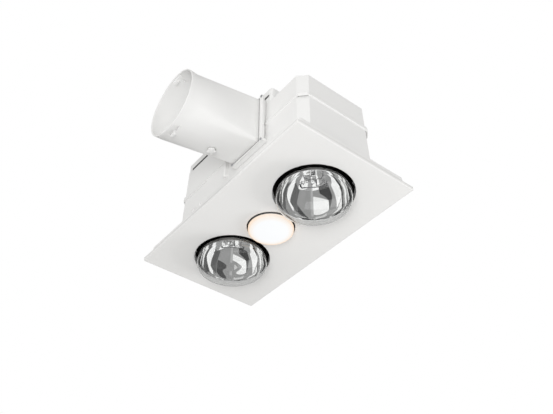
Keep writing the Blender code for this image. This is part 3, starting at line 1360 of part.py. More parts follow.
SHELF_X0 = -0.164
SHELF_X1 = -0.062
SHELF_Z = 0.146
SHELF_EDGE = 0.006
TERMINAL_LENGTH = 0.062
TERMINAL_WIDTH = 0.020
TERMINAL_HEIGHT = 0.016
TERMINAL_POLES = 6
TERMINAL_BORE = 0.0019
TERMINAL_Y = 0.036
CAPACITOR_SIZE = (0.046, 0.024, 0.020)
CAPACITOR_Y = -0.034
CUTOUT_RADIUS = 0.008
CUTOUT_HEIGHT = 0.007
CUTOUT_X = -0.080
GLAND_FLANGE = 0.0115
GLAND_HEAD = 0.003
GLAND_LENGTH = 0.012
GLAND_BORE = 0.0045


def make_wiring_shelf():
    reach = inner_half_width(SHELF_Z) - CLEARANCE
    shelf = block("wiring_shelf", (SHELF_X0, -reach, SHELF_Z), (SHELF_X1, reach, SHELF_Z + SHEET),
                  ZINC_STEEL)
    join_block(shelf, (SHELF_X1 - SHEET, -reach, SHELF_Z), (SHELF_X1, reach, SHELF_Z + SHELF_EDGE))
    middle = (SHELF_X0 + SHELF_X1) / 2
    seat = SHELF_Z + SHEET + CLEARANCE
    terminal = block("terminal_block",
                     (middle - TERMINAL_LENGTH / 2, TERMINAL_Y - TERMINAL_WIDTH / 2, seat),
                     (middle + TERMINAL_LENGTH / 2, TERMINAL_Y + TERMINAL_WIDTH / 2,
                      seat + TERMINAL_HEIGHT), CERAMIC)
    pitch = TERMINAL_LENGTH / TERMINAL_POLES
    for n in range(TERMINAL_POLES):
        x = middle - TERMINAL_LENGTH / 2 + pitch * (n + 0.5)
        z = seat + TERMINAL_HEIGHT / 2
        cut_round(terminal, TERMINAL_BORE, (x, TERMINAL_Y - TERMINAL_WIDTH, z),
                  (x, TERMINAL_Y + TERMINAL_WIDTH, z), SMALL_STEPS)
    length, width, height = CAPACITOR_SIZE
    bm = bmesh.new()
    add_block(bm, (middle - length / 2, CAPACITOR_Y - width / 2, seat),
              (middle + length / 2, CAPACITOR_Y + width / 2, seat + height))
    bmesh.ops.bevel(bm, geom=list(bm.edges), offset=SHEET, segments=1, affect="EDGES")
    add_object("motor_capacitor", bm, BLACK_PLASTIC)
    under = SHELF_Z - CLEARANCE
    turned("thermal_cutout", [(0, under), (CUTOUT_RADIUS, under),
                              (CUTOUT_RADIUS, under - CUTOUT_HEIGHT), (0, under - CUTOUT_HEIGHT)],
           BLACK_PLASTIC, (CUTOUT_X, 0, 0), steps=MEDIUM_STEPS)


def make_cable_gland():
    """A bush in the end wall of the raised deck, where the supply enters."""
    wall = -half_length(CABLE_Z)
    head = wall - CLEARANCE - HOUSING_TAPER_SHARE * GLAND_FLANGE
    profile = [(GLAND_BORE, head + GLAND_LENGTH), (CABLE_HOLE_RADIUS, head + GLAND_LENGTH),
               (CABLE_HOLE_RADIUS, head), (GLAND_FLANGE, head),
               (GLAND_FLANGE, head - GLAND_HEAD), (GLAND_BORE, head - GLAND_HEAD)]
    turned("cable_gland", profile, BLACK_PLASTIC, (0, 0, CABLE_Z), "X", MEDIUM_STEPS,
           closed=True)


def build_heater():
    make_fascia_panel()
    for side in CLIP_PLACES:
        make_fascia_clip(side)
    make_mounting_frame()
    make_lower_housing()
    make_upper_housing()
    make_fan_cover_lid()
    make_chassis_plate()
    for side, x in LAMP_PLACES.items():
        make_bulb_ring(side)
        make_shroud(side)
        make_heat_lamp(side)
        top = make_lampholder(f"lampholder_{side}", x, cap_bottom())
        make_bridge(f"lampholder_bridge_{side}", x, top, BRIDGE_WIDTH)
    make_light()
    top = make_lampholder("lampholder_light", 0.0, light_body_top() + CLEARANCE)
    make_bridge("lampholder_bridge_light", 0.0, top, LIGHT_BRIDGE_WIDTH)
    make_blower_casing()
    make_impeller()
    make_motor()
    make_motor_bracket()
    make_outlet_neck()
    make_duct_adaptor()
    low, high = make_damper()
    make_damper_pivots(low, high)
    make_damper_spring(high)
    make_wiring_shelf()
    make_cable_gland()


build_heater()
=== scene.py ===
# %% [markdown]
# # A bathroom ceiling heater, finished and lit
# The real object hangs in a ceiling: a white panel with two heat lamps and a light, a white
# housing above it and a duct that carries the damp air away. The solid parts come from the
# CAD model. This lesson gives them their finishes, and adds what a solid model leaves out:
# blown glass, silvering, screws, clips and the soft edges of a moulding.

# %% Load the CAD model as a fixed frame
import math

import bpy
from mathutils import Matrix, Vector


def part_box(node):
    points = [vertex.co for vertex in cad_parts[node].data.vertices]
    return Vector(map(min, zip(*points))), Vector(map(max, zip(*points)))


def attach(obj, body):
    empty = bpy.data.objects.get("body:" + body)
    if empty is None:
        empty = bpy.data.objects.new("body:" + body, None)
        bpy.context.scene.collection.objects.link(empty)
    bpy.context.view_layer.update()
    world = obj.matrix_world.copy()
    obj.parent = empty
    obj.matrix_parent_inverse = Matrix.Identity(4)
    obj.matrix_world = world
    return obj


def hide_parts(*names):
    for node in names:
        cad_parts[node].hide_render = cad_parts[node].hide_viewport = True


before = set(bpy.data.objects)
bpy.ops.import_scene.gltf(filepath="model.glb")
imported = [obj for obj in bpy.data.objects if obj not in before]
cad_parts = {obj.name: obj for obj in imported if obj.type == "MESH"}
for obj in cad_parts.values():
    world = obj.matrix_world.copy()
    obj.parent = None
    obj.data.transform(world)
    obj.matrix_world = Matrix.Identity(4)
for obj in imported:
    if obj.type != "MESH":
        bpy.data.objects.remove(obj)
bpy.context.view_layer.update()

# %% [markdown]
# ## Dimensions that the new pieces share with the CAD model
# A dressed piece has to sit exactly where its solid sits, so the few sizes that both need
# are named here, in metres.

# %% Shared dimensions
LAMP_X = 0.114
BULB_RADIUS = 0.0628
BULB_CENTRE_Z = -0.040
BULB_LENGTH = 0.138
LIGHT_RADIUS = 0.03975
DUCT_X = 0.016
DUCT_Z = 0.1215
DUCT_RADIUS = 0.063
DUCT_RIM_RADIUS = 0.064
DUCT_MOUTH_Y = -0.228
DUCT_ROUND_Y = -0.212
DUCT_WALL = 0.002
FLANGE_FRONT_Y = -0.090
FLANGE_BACK_Y = -0.0878
FLANGE_LOW = (0.003, 0.0615)
FLANGE_HIGH = (0.0895, 0.1745)
ADAPTOR_LOW = (0.006, 0.0645)
ADAPTOR_HIGH = (0.081, 0.1705)
DAMPER_Y = -0.141
print("lamp centres at X", -LAMP_X, LAMP_X)

# %% [markdown]
# ## The camera
# The heater is seen from below and from its duct side, from 1.3 metres away. The lens and
# the place were worked out from the corners of the panel and the circles of the lamps.

# %% Camera
SENSOR_WIDTH = 36.0
LENS = 48.40
CAMERA_PLACE = (0.78874, -0.61194, -0.83058)
VIEW_DIRECTION = Vector((-0.59688, 0.47235, 0.64855))
camera_data = bpy.data.cameras.new("camera")
camera_data.sensor_width = SENSOR_WIDTH
camera_data.lens = LENS
camera = bpy.data.objects.new("camera", camera_data)
bpy.context.scene.collection.objects.link(camera)
camera.location = CAMERA_PLACE
camera.rotation_euler = VIEW_DIRECTION.to_track_quat("-Z", "Y").to_euler()
bpy.context.scene.camera = camera
print("camera is", round(camera.location.length, 3), "m from the ceiling cut-out")

# %% [markdown]
# ## Floor and light
# A plain pale floor lies well below, as a room's floor does. The sky is a plain white
# studio. One large softbox stands beside the camera, and two weaker ones lift the far side
# and the top. A chrome bowl shows whatever is round it, so mirrors are given a grey room to
# look at, while paint gets white light. The softboxes are hidden from mirrors too, where
# plain cards, made further on, stand in for them and give smoother shapes.

# %% Floor
FLOOR_Z = -1.70
FLOOR_SIZE = 14


def clear_selection():
    """Leaves edit mode and deselects everything, because an operator acts on all of it."""
    if bpy.context.object and bpy.context.object.mode != "OBJECT":
        bpy.ops.object.mode_set(mode="OBJECT")
    bpy.ops.object.select_all(action="DESELECT")


clear_selection()
bpy.ops.mesh.primitive_grid_add(x_subdivisions=8, y_subdivisions=8, size=FLOOR_SIZE,
                                location=(0, 0, FLOOR_Z))
floor = bpy.context.object
floor.name = "studio_floor"
bpy.ops.object.transform_apply(location=True, rotation=True, scale=True)
floor.visible_glossy = False
floor.visible_transmission = False
print("floor is", -FLOOR_Z, "m below the ceiling")

# %% World: white for the camera and for paint, grey for mirrors
PLAIN_WHITE = (1, 1, 1, 1)
WARM_WHITE = (1.0, 0.995, 0.985, 1)
WARM_STRENGTH = 0.585
ROOM_GREY = (0.37, 0.37, 0.37, 1)
bpy.context.scene.view_settings.view_transform = "Standard"
world = bpy.data.worlds.new("studio")
bpy.context.scene.world = world
world.use_nodes = True
sky = world.node_tree.nodes
sky.clear()
links = world.node_tree.links


def add_background(colour, strength=1.0):
    background = sky.new("ShaderNodeBackground")
    background.inputs["Color"].default_value = colour
    background.inputs["Strength"].default_value = strength
    return background.outputs[0]


def choose_sky(ray, others_see, ray_sees):
    """Shows one sky to a kind of ray and another sky to all others."""
    mix = sky.new("ShaderNodeMixShader")
    for socket, source in zip(mix.inputs, (ray, others_see, ray_sees)):
        links.new(source, socket)
    return mix.outputs[0]


path = sky.new("ShaderNodeLightPath")
mirror_ray = sky.new("ShaderNodeMath")
mirror_ray.operation = "MAXIMUM"
links.new(path.outputs["Is Glossy Ray"], mirror_ray.inputs[0])
links.new(path.outputs["Is Transmission Ray"], mirror_ray.inputs[1])
lighting = choose_sky(mirror_ray.outputs[0], add_background(WARM_WHITE, WARM_STRENGTH),
                      add_background(ROOM_GREY))
shown = choose_sky(path.outputs["Is Camera Ray"], lighting, add_background(PLAIN_WHITE))
links.new(shown, sky.new("ShaderNodeOutputWorld").inputs["Surface"])
print("studio sky has", len(sky), "nodes")

# %% Softboxes
SOFTBOX_TARGET = Vector((0, -0.05, 0.05))


def add_softbox(name, place, width, height, power):
    """A rectangular lamp that faces the heater. It lights paint and shows in no mirror."""
    data = bpy.data.lights.new(name, "AREA")
    data.shape = "RECTANGLE"
    data.size = width
    data.size_y = height
    data.energy = power
    lamp = bpy.data.objects.new(name, data)
    bpy.context.scene.collection.objects.link(lamp)
    lamp.location = place
    lamp.rotation_euler = (SOFTBOX_TARGET - Vector(place)).to_track_quat("-Z", "Y").to_euler()
    lamp.visible_camera = False
    lamp.visible_glossy = False
    lamp.visible_transmission = False
    return lamp


key = add_softbox("key_softbox", (1.20, -1.30, -0.95), width=1.0, height=0.8, power=20.6)
add_softbox("far_softbox", (0.60, 1.40, -0.60), width=0.7, height=0.5, power=9.0)
add_softbox("high_softbox", (0.10, -1.10, 1.30), width=1.0, height=0.8, power=4.5)
print("key light is", round(key.location.length, 2), "m away")

# %% [markdown]
# ## Effects that several finishes share
# Real paint and plastic are never one colour. Two small node groups give every finish the
# same kinds of irregularity at its own scale: slow cloudiness with fine grain, and a paler
# line where an edge turns, which is partly wear and partly a painted highlight. They put out
# masks and a normal, and each material decides what to do with them.

# %% Node helpers
def add_node(tree, kind, **settings):
    node = tree.nodes.new(kind)
    for setting, value in settings.items():
        setattr(node, setting, value)
    return node


def math_node(tree, operation, first, second=None, clamp=False):
    node = add_node(tree, "ShaderNodeMath", operation=operation, use_clamp=clamp)
    for socket, value in zip(node.inputs, (first, second)):
        if value is None:
            continue
        if isinstance(value, (int, float)):
            socket.default_value = value
        else:
            tree.links.new(value, socket)
    return node.outputs[0]


# %% Group: cloudiness and grain
def make_cloud_group():
    tree = bpy.data.node_groups.new("cloud_and_grain", "ShaderNodeTree")
    for label, value in (("Cloud Scale", 12.0), ("Grain Scale", 900.0), ("Stretch", 1.0)):
        socket = tree.interface.new_socket(name=label, in_out="INPUT",
                                           socket_type="NodeSocketFloat")
        socket.default_value = value
    for label in ("Cloud", "Grain"):
        tree.interface.new_socket(name=label, in_out="OUTPUT", socket_type="NodeSocketFloat")
    given = add_node(tree, "NodeGroupInput")
    result = add_node(tree, "NodeGroupOutput")
    place = add_node(tree, "ShaderNodeTexCoord")
    split = add_node(tree, "ShaderNodeSeparateXYZ")
    joined = add_node(tree, "ShaderNodeCombineXYZ")
    tree.links.new(place.outputs["Object"], split.inputs[0])
    along = math_node(tree, "MULTIPLY", split.outputs["X"], given.outputs["Stretch"])
    tree.links.new(along, joined.inputs["X"])
    tree.links.new(split.outputs["Y"], joined.inputs["Y"])
    tree.links.new(split.outputs["Z"], joined.inputs["Z"])
    for label, detail in (("Cloud", 3.0), ("Grain", 2.0)):
        noise = add_node(tree, "ShaderNodeTexNoise")
        noise.inputs["Detail"].default_value = detail
        tree.links.new(joined.outputs[0], noise.inputs["Vector"])
        tree.links.new(given.outputs[label + " Scale"], noise.inputs["Scale"])
        tree.links.new(noise.outputs["Fac"], result.inputs[label])
    return tree


CLOUD_GROUP = make_cloud_group()
print("group:", CLOUD_GROUP.name)


# %% Group: edges
def make_edge_group():
    tree = bpy.data.node_groups.new("edge_line", "ShaderNodeTree")
    for label, value in (("Width", 0.0008), ("Amount", 4.0)):
        socket = tree.interface.new_socket(name=label, in_out="INPUT",
                                           socket_type="NodeSocketFloat")
        socket.default_value = value
    tree.interface.new_socket(name="Mask", in_out="OUTPUT", socket_type="NodeSocketFloat")
    tree.interface.new_socket(name="Soft Normal", in_out="OUTPUT",
                              socket_type="NodeSocketVector")
    given = add_node(tree, "NodeGroupInput")
    result = add_node(tree, "NodeGroupOutput")
    rounded = add_node(tree, "ShaderNodeBevel", samples=4)
    tree.links.new(given.outputs["Width"], rounded.inputs["Radius"])
    flat = add_node(tree, "ShaderNodeNewGeometry")
    turn = add_node(tree, "ShaderNodeVectorMath", operation="DOT_PRODUCT")
    tree.links.new(rounded.outputs[0], turn.inputs[0])
    tree.links.new(flat.outputs["True Normal"], turn.inputs[1])
    # The mask rises along edges, where the rounded normal turns away from the face; finishes
    # paint a paler highlight there, partly wear.
    lost = math_node(tree, "SUBTRACT", 1.0, turn.outputs["Value"], clamp=True)
    wear_and_highlight_share = math_node(tree, "MULTIPLY", lost, given.outputs["Amount"], clamp=True)
    tree.links.new(wear_and_highlight_share, result.inputs["Mask"])
    tree.links.new(rounded.outputs[0], result.inputs["Soft Normal"])
    return tree


EDGE_GROUP = make_edge_group()
print("group:", EDGE_GROUP.name)


# %% [markdown]
# ## Finishes
# One function builds every solid finish from the same recipe: a base colour and a second
# shade mixed by the clouds, a different colour along the edges, roughness that wanders, and
# a fine bump from the grain. The edge colour is mostly paler than the body: a painted
# highlight along the edges, with some wear in it. What differs between moulded plastic,
# painted steel and porcelain is how much of each there is, so those are its arguments.

# %% Material, texture and colour
def new_material(name):
    """A new material with its node tree and its shader."""
    material = bpy.data.materials.new(name)
    material.use_nodes = True
    return material, material.node_tree, material.node_tree.nodes["Principled BSDF"]


def add_texture(tree, clouds=12.0, grain=900.0, stretch=1.0):
    """The group of clouds and grain, at a finish's own scales."""
    texture = add_node(tree, "ShaderNodeGroup", node_tree=CLOUD_GROUP)
    texture.inputs["Cloud Scale"].default_value = clouds
    texture.inputs["Grain Scale"].default_value = grain
    texture.inputs["Stretch"].default_value = stretch
    return texture


def mix_shades(tree, colour, shade, mask):
    """Goes from one colour to another as a mask goes from 0 to 1."""
    tint = add_node(tree, "ShaderNodeMix", data_type="RGBA")
    tint.inputs["A"].default_value = (*colour, 1)
    tint.inputs["B"].default_value = (*shade, 1)
    tree.links.new(mask, tint.inputs["Factor"])
    return tint.outputs["Result"]


# %% Roughness and relief
GRAIN_DEPTH = 0.0001


def spread_roughness(tree, shader, rough, mask):
    """Lets the roughness wander between two values."""
    spread = add_node(tree, "ShaderNodeMapRange")
    spread.inputs["To Min"].default_value = rough[0]
    spread.inputs["To Max"].default_value = rough[1]
    tree.links.new(mask, spread.inputs["Value"])
    tree.links.new(spread.outputs["Result"], shader.inputs["Roughness"])


def add_relief(tree, shader, height, strength, depth=GRAIN_DEPTH, normal=None):
    """Lays a bump over the surface, or over another normal."""
    relief = add_node(tree, "ShaderNodeBump")
    relief.inputs["Strength"].default_value = strength
    relief.inputs["Distance"].default_value = depth
    tree.links.new(height, relief.inputs["Height"])
    if normal is not None:
        tree.links.new(normal, relief.inputs["Normal"])
    tree.links.new(relief.outputs["Normal"], shader.inputs["Normal"])


# %% The recipe for a solid finish
COAT_ROUGHNESS = 0.12


def solid_finish(name, colour, shade, rough, clouds, grain, bump, edge_colour,
                 edge_width=0.0008, edge_amount=3.0, metallic=0.0, stretch=1.0, coat=0.0):
    material, tree, shader = new_material(name)
    shader.inputs["Metallic"].default_value = metallic
    shader.inputs["Coat Weight"].default_value = coat
    shader.inputs["Coat Roughness"].default_value = COAT_ROUGHNESS
    texture = add_texture(tree, clouds, grain, stretch)
    edges = add_node(tree, "ShaderNodeGroup", node_tree=EDGE_GROUP)
    edges.inputs["Width"].default_value = edge_width
    edges.inputs["Amount"].default_value = edge_amount
    # Edge colour over the body colour along the edges: partly wear, partly a painted highlight.
    edge_wear_and_highlight = add_node(tree, "ShaderNodeMix", data_type="RGBA")
    edge_wear_and_highlight.inputs["B"].default_value = (*edge_colour, 1)
    tree.links.new(edges.outputs["Mask"], edge_wear_and_highlight.inputs["Factor"])
    tree.links.new(mix_shades(tree, colour, shade, texture.outputs["Cloud"]), edge_wear_and_highlight.inputs["A"])
    tree.links.new(edge_wear_and_highlight.outputs["Result"], shader.inputs["Base Color"])
    spread_roughness(tree, shader, rough, texture.outputs["Grain"])
    add_relief(tree, shader, texture.outputs["Grain"], bump,
               normal=edges.outputs["Soft Normal"])
    return material


# %% Plastics and paints
# The panel's wide, near-white edge line and the housing's paler edge line are painted highlights
# along their rounded edges.
PANEL_WHITE = solid_finish("panel_white_gloss", (0.86, 0.855, 0.84), (0.83, 0.828, 0.82),
                           (0.22, 0.30), clouds=7, grain=2400, bump=0.03,
                           edge_colour=(0.97, 0.965, 0.955), edge_width=0.0018, edge_amount=7.0,
                           coat=0.15)
HOUSING_WHITE = solid_finish("housing_white_matt", (0.865, 0.862, 0.85), (0.83, 0.83, 0.825),
                             (0.42, 0.54), clouds=9, grain=1500, bump=0.10,
                             edge_colour=(0.91, 0.905, 0.89), edge_width=0.0005)
# Black paint for the chassis and lamp shrouds. It is also painted shade: it makes the openings
# round the lamps as black as the shade inside them.
BLACK_PAINT_AND_SHADE = solid_finish("heat_proof_black_paint_and_shade", (0.022, 0.021, 0.020),
                           (0.040, 0.038, 0.036), (0.45, 0.62), clouds=20, grain=1800,
                           bump=0.2, edge_colour=(0.16, 0.155, 0.15), edge_width=0.0005,
                           edge_amount=1.5)
BLACK_PLASTIC = solid_finish("black_moulding", (0.025, 0.025, 0.026), (0.040, 0.040, 0.041),
                             (0.36, 0.50), clouds=30, grain=2200, bump=0.12,
                             edge_colour=(0.07, 0.07, 0.07), edge_width=0.0004)
# Black rubber for the motor's ring, also used as painted shade in the slot under the lid.
RUBBER_AND_SHADE_BLACK = solid_finish("black_rubber_and_painted_shade", (0.020, 0.020, 0.020), (0.055, 0.054, 0.052),
                      (0.70, 0.90), clouds=45, grain=1600, bump=0.2,
                      edge_colour=(0.06, 0.06, 0.06), edge_width=0.0005)
CERAMIC = solid_finish("glazed_ceramic", (0.86, 0.84, 0.79), (0.82, 0.79, 0.73),
                       (0.12, 0.22), clouds=35, grain=700, bump=0.05,
                       edge_colour=(0.90, 0.89, 0.86), edge_width=0.0006, coat=0.5)
# A grey that stands for shade, used only for the painted shade line at the adaptor's foot.
SHADE_LINE_GREY = solid_finish("painted_shade_grey", (0.38, 0.38, 0.38), (0.31, 0.31, 0.31),
                         (0.80, 0.92), clouds=40, grain=2600, bump=0.30,
                         edge_colour=(0.44, 0.44, 0.44))
BOARD_WHITE = solid_finish("light_board_white", (0.86, 0.87, 0.86), (0.80, 0.82, 0.80),
                           (0.30, 0.42), clouds=60, grain=1500, bump=0.08,
                           edge_colour=(0.55, 0.60, 0.42), edge_width=0.0003)
print("plastics and paints:", len(bpy.data.materials))

# %% Metals
ZINC = solid_finish("zinc_plated_sheet", (0.66, 0.67, 0.69), (0.52, 0.53, 0.55), (0.24, 0.42),
                    clouds=70, grain=420, bump=0.06, edge_colour=(0.80, 0.80, 0.80),
                    edge_width=0.0004, metallic=1.0)
SPRING = solid_finish("bright_spring_steel", (0.80, 0.80, 0.80), (0.68, 0.68, 0.69),
                      (0.10, 0.24), clouds=120, grain=1400, bump=0.05,
                      edge_colour=(0.92, 0.92, 0.92), edge_width=0.0003, metallic=1.0,
                      stretch=0.15)
CAP_METAL = solid_finish("nickel_plated_cap", (0.74, 0.72, 0.68), (0.58, 0.56, 0.52),
                         (0.20, 0.38), clouds=90, grain=600, bump=0.06,
                         edge_colour=(0.86, 0.85, 0.82), edge_width=0.0003, metallic=1.0)
BODY_METAL = solid_finish("satin_aluminium", (0.76, 0.77, 0.78), (0.66, 0.67, 0.69),
                          (0.28, 0.44), clouds=40, grain=1200, bump=0.08,
                          edge_colour=(0.88, 0.88, 0.89), edge_width=0.0005, metallic=1.0)
BRONZE = solid_finish("sintered_bronze", (0.50, 0.33, 0.18), (0.30, 0.19, 0.10), (0.40, 0.60),
                      clouds=300, grain=2500, bump=0.4, edge_colour=(0.72, 0.52, 0.30),
                      edge_width=0.0003, metallic=1.0)
TUNGSTEN = solid_finish("coiled_tungsten", (0.36, 0.36, 0.37), (0.16, 0.16, 0.18),
                        (0.30, 0.50), clouds=500, grain=3000, bump=0.3,
                        edge_colour=(0.55, 0.55, 0.56), edge_width=0.0002, metallic=1.0)
print("solid finishes:", len(bpy.data.materials))

# %% [markdown]
# Blown glass is clear but never perfectly even, so its bump is a slow wave. The silvering
# lies on the inside of the cone: a bright mirror that takes its faint waves from the glass.

# %% Glass
GLASS_IOR = 1.47
GLASS_WAVE = 0.0006


def make_clear_glass():
    material, tree, shader = new_material("blown_clear_glass")
    shader.inputs["Base Color"].default_value = (0.985, 0.99, 0.99, 1)
    shader.inputs["Roughness"].default_value = 0.0
    shader.inputs["IOR"].default_value = GLASS_IOR
    shader.inputs["Transmission Weight"].default_value = 1.0
    texture = add_texture(tree, clouds=14)
    add_relief(tree, shader, texture.outputs["Cloud"], strength=0.05, depth=GLASS_WAVE)
    return material


CLEAR_GLASS = make_clear_glass()
print("glass:", CLEAR_GLASS.name)

# %% Silvering
SILVER_WAVE = 0.0005


def make_silvering():
    material, tree, shader = new_material("silvered_inside")
    shader.inputs["Metallic"].default_value = 1.0
    texture = add_texture(tree, clouds=16, grain=500)
    silver = mix_shades(tree, (0.95, 0.95, 0.94), (0.90, 0.90, 0.90), texture.outputs["Cloud"])
    tree.links.new(silver, shader.inputs["Base Color"])
    spread_roughness(tree, shader, (0.006, 0.020), texture.outputs["Grain"])
    add_relief(tree, shader, texture.outputs["Cloud"], strength=0.025, depth=SILVER_WAVE)
    return material


INSIDE_SILVER = make_silvering()
print("silvering:", INSIDE_SILVER.name)

# %% [markdown]
# The opal front of the light is lit from behind. It is almost white in the middle and turns
# to a warm orange at its rim, where the light passes through more of the plastic. A colour
# ramp over the distance from the middle gives that, and the shader glows with it.

# %% Distance from the middle of the front
OPAL_SHIFT = (-0.0022, 0.0015, 0)


def share_of_radius(tree):
    """How far out a point lies: 0 in the middle of the front and 1 at its rim."""
    place = add_node(tree, "ShaderNodeTexCoord")
    nudge = add_node(tree, "ShaderNodeMapping")
    nudge.inputs["Location"].default_value = OPAL_SHIFT
    tree.links.new(place.outputs["Object"], nudge.inputs["Vector"])
    split = add_node(tree, "ShaderNodeSeparateXYZ")
    tree.links.new(nudge.outputs["Vector"], split.inputs[0])
    across = math_node(tree, "MULTIPLY", split.outputs["X"], split.outputs["X"])
    along = math_node(tree, "MULTIPLY", split.outputs["Y"], split.outputs["Y"])
    reach = math_node(tree, "SQRT", math_node(tree, "ADD", across, along))
    return math_node(tree, "DIVIDE", reach, LIGHT_RADIUS)


# %% Opal
OPAL_GLOW = 0.88
OPAL_BASE = (0.10, 0.10, 0.10, 1)
OPAL_TONES = [(0.70, (0.97, 0.985, 1.0, 1)), (0.90, (0.98, 0.90, 0.82, 1)),
              (1.0, (0.98, 0.70, 0.47, 1))]


def make_opal():
    material, tree, shader = new_material("lit_opal_diffuser")
    shader.inputs["Base Color"].default_value = OPAL_BASE
    shader.inputs["Roughness"].default_value = 0.32
    shader.inputs["Emission Strength"].default_value = OPAL_GLOW
    ramp = add_node(tree, "ShaderNodeValToRGB")
    stops = ramp.color_ramp.elements
    stops.new(OPAL_TONES[1][0])
    for stop, (position, tone) in zip(stops, OPAL_TONES):
        stop.position = position
        stop.color = tone
    tree.links.new(share_of_radius(tree), ramp.inputs["Fac"])
    tree.links.new(ramp.outputs["Color"], shader.inputs["Emission Color"])
    texture = add_texture(tree, grain=1400)
    add_relief(tree, shader, texture.outputs["Grain"], strength=0.05)
    return material


OPAL = make_opal()
print("opal front turns orange", round(LIGHT_RADIUS * 1000, 1), "mm from its middle")

# %% [markdown]
# The floor is painted by the same recipe, with broad clouds, so that it isn't one flat tone.

# %% Floor finish
FLOOR_FINISH = solid_finish("pale_studio_floor", (0.90, 0.90, 0.90), (0.88, 0.88, 0.88),
                            (0.7, 0.8), clouds=1.5, grain=60, bump=0.02,
                            edge_colour=(0.9, 0.9, 0.9))
floor.data.materials.append(FLOOR_FINISH)
print("finishes in all:", len(bpy.data.materials))

# %% [markdown]
# ## Cards for the mirrors
# A photographer hangs white and black cards round a mirror, because a mirror shows nothing
# of its own. Each card is a strip of a big sphere round the heater. It is given by its two
# ends: an angle round the vertical, and two angles away from straight down. Only mirrors
# and glass see the cards: they light nothing and they cast no shadow.

# %% Where the cards hang
CARDS = [  # name, its two ends in degrees as (turn, low tilt, high tilt), brightness
    ("white_window", (46, 48.0, 56.0), (143, 42.0, 51.5), 1.15),
    ("black_flag_high", (50, 30, 47), (94, 28, 38), 0.045),
    ("black_flag_side", (14, 36, 47), (50, 30, 57), 0.045),
    ("white_panel", (80, 18, 31), (146, 18, 31), 1.15),
    ("white_band", (190, 20, 28), (268, 27, 37), 1.15),
    ("black_flag_low", (182, 56, 61), (248, 50, 58), 0.050),
    ("pale_panel", (62, 57, 63), (132, 55, 60), 0.75),
    ("dark_panel", (250, 36, 60), (300, 40, 60), 0.12),
    ("grey_panel", (144, 28, 54), (160, 28, 54), 0.55),
    ("tall_window", (-85, 42, 80), (-5, 42, 80), 1.15),
]


# %% Cards
CARD_DISTANCE = 3.0
CARD_STEP = 0.05


def add_card(name, first, second, tone, distance):
    material, _, shader = new_material(name)
    shader.inputs["Base Color"].default_value = (0, 0, 0, 1)
    shader.inputs["Specular IOR Level"].default_value = 0.0
    shader.inputs["Emission Color"].default_value = (1, 1, 1, 1)
    shader.inputs["Emission Strength"].default_value = tone
    clear_selection()
    bpy.ops.mesh.primitive_grid_add(x_subdivisions=12, y_subdivisions=4, size=1)
    card = bpy.context.object
    card.name = name
    for corner in card.data.vertices:
        across, out = corner.co.x + 0.5, corner.co.y + 0.5
        turn, low, high = (a + (b - a) * across for a, b in zip(first, second))
        angle = math.radians(turn)
        tilt = math.radians(low + (high - low) * out)
        corner.co = distance * Vector((math.sin(tilt) * math.cos(angle),
                                       math.sin(tilt) * math.sin(angle), -math.cos(tilt)))
    card.data.materials.append(material)
    card.visible_camera = False
    card.visible_diffuse = False
    card.visible_shadow = False


for order, (card_name, card_start, card_end, card_tone) in enumerate(CARDS):
    add_card(card_name, card_start, card_end, card_tone, CARD_DISTANCE + order * CARD_STEP)
print("cards:", len(CARDS))

# %% [markdown]
# ## Dressing the CAD nodes
# Where a solid already has the right shape, it only gets its finish. The list goes finish
# by finish, the way a parts list groups what is made of one material.

# %% What is made of each finish
NODE_FINISHES = [
    (PANEL_WHITE, ["fascia_panel"]),
    (HOUSING_WHITE, ["mounting_frame", "lower_housing", "upper_housing", "fan_cover_lid",
                     "outlet_neck", "damper_flap", "damper_lower_bush",
                     "damper_upper_bush", "impeller", "duct_adaptor"]),
    (BLACK_PAINT_AND_SHADE, ["chassis_plate", "lamp_shroud_left", "lamp_shroud_right"]),
    (ZINC, ["lampholder_bridge_left", "lampholder_bridge_right", "lampholder_bridge_light",
            "blower_casing", "blower_inlet_plate", "motor_front_shell", "motor_rear_shell",
            "motor_stator", "motor_bracket", "wiring_shelf"]),
    (SPRING, ["fascia_spring_clip_left", "fascia_spring_clip_right", "bulb_spring_ring_left",
              "bulb_spring_ring_right", "motor_shaft", "damper_spindle", "damper_spring"]),
    (CAP_METAL, ["heat_lamp_left_cap", "heat_lamp_right_cap", "light_cap"]),
    (BODY_METAL, ["light_body", "motor_rotor"]),
    (CERAMIC, ["lampholder_left", "lampholder_right", "lampholder_light", "terminal_block"]),
    (BLACK_PLASTIC, ["motor_capacitor", "thermal_cutout", "cable_gland"]),
    (BRONZE, ["motor_front_bush", "motor_rear_bush"]),
    (RUBBER_AND_SHADE_BLACK, ["motor_rubber_ring"]),
    (BOARD_WHITE, ["light_board"]),
    (TUNGSTEN, ["heat_lamp_left_filament", "heat_lamp_right_filament"]),
    (CLEAR_GLASS, ["heat_lamp_left_stem", "heat_lamp_right_stem", "heat_lamp_left_envelope",
                   "heat_lamp_right_envelope"]),
    (OPAL, ["light_diffuser"]),
]


# %% Dress the nodes
def dress(name, material):
    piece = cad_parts[name]
    if not piece.material_slots:
        piece.data.materials.append(material)
    for material_slot in piece.material_slots:
        material_slot.material = material


for finish, names in NODE_FINISHES:
    for node_name in names:
        dress(node_name, finish)
dressed = sum(len(names) for _, names in NODE_FINISHES)
print("CAD nodes dressed:", dressed, "of", len(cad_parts))

# %% [markdown]
# ## Modelling helpers
# A turned piece starts as a circle of points, and each further ring is the last one
# extruded, moved and resized. That is how a potter or a lathe works, and it keeps the mesh
# in even quads. Other pieces start as a block. Cuts and rounded edges are modifiers, which
# are applied at once, so that the next step works on a plain mesh.

# %% Start a piece, and turn it
def start_piece(name):
    piece = bpy.context.object
    piece.name = name
    piece.data.name = name
    return piece


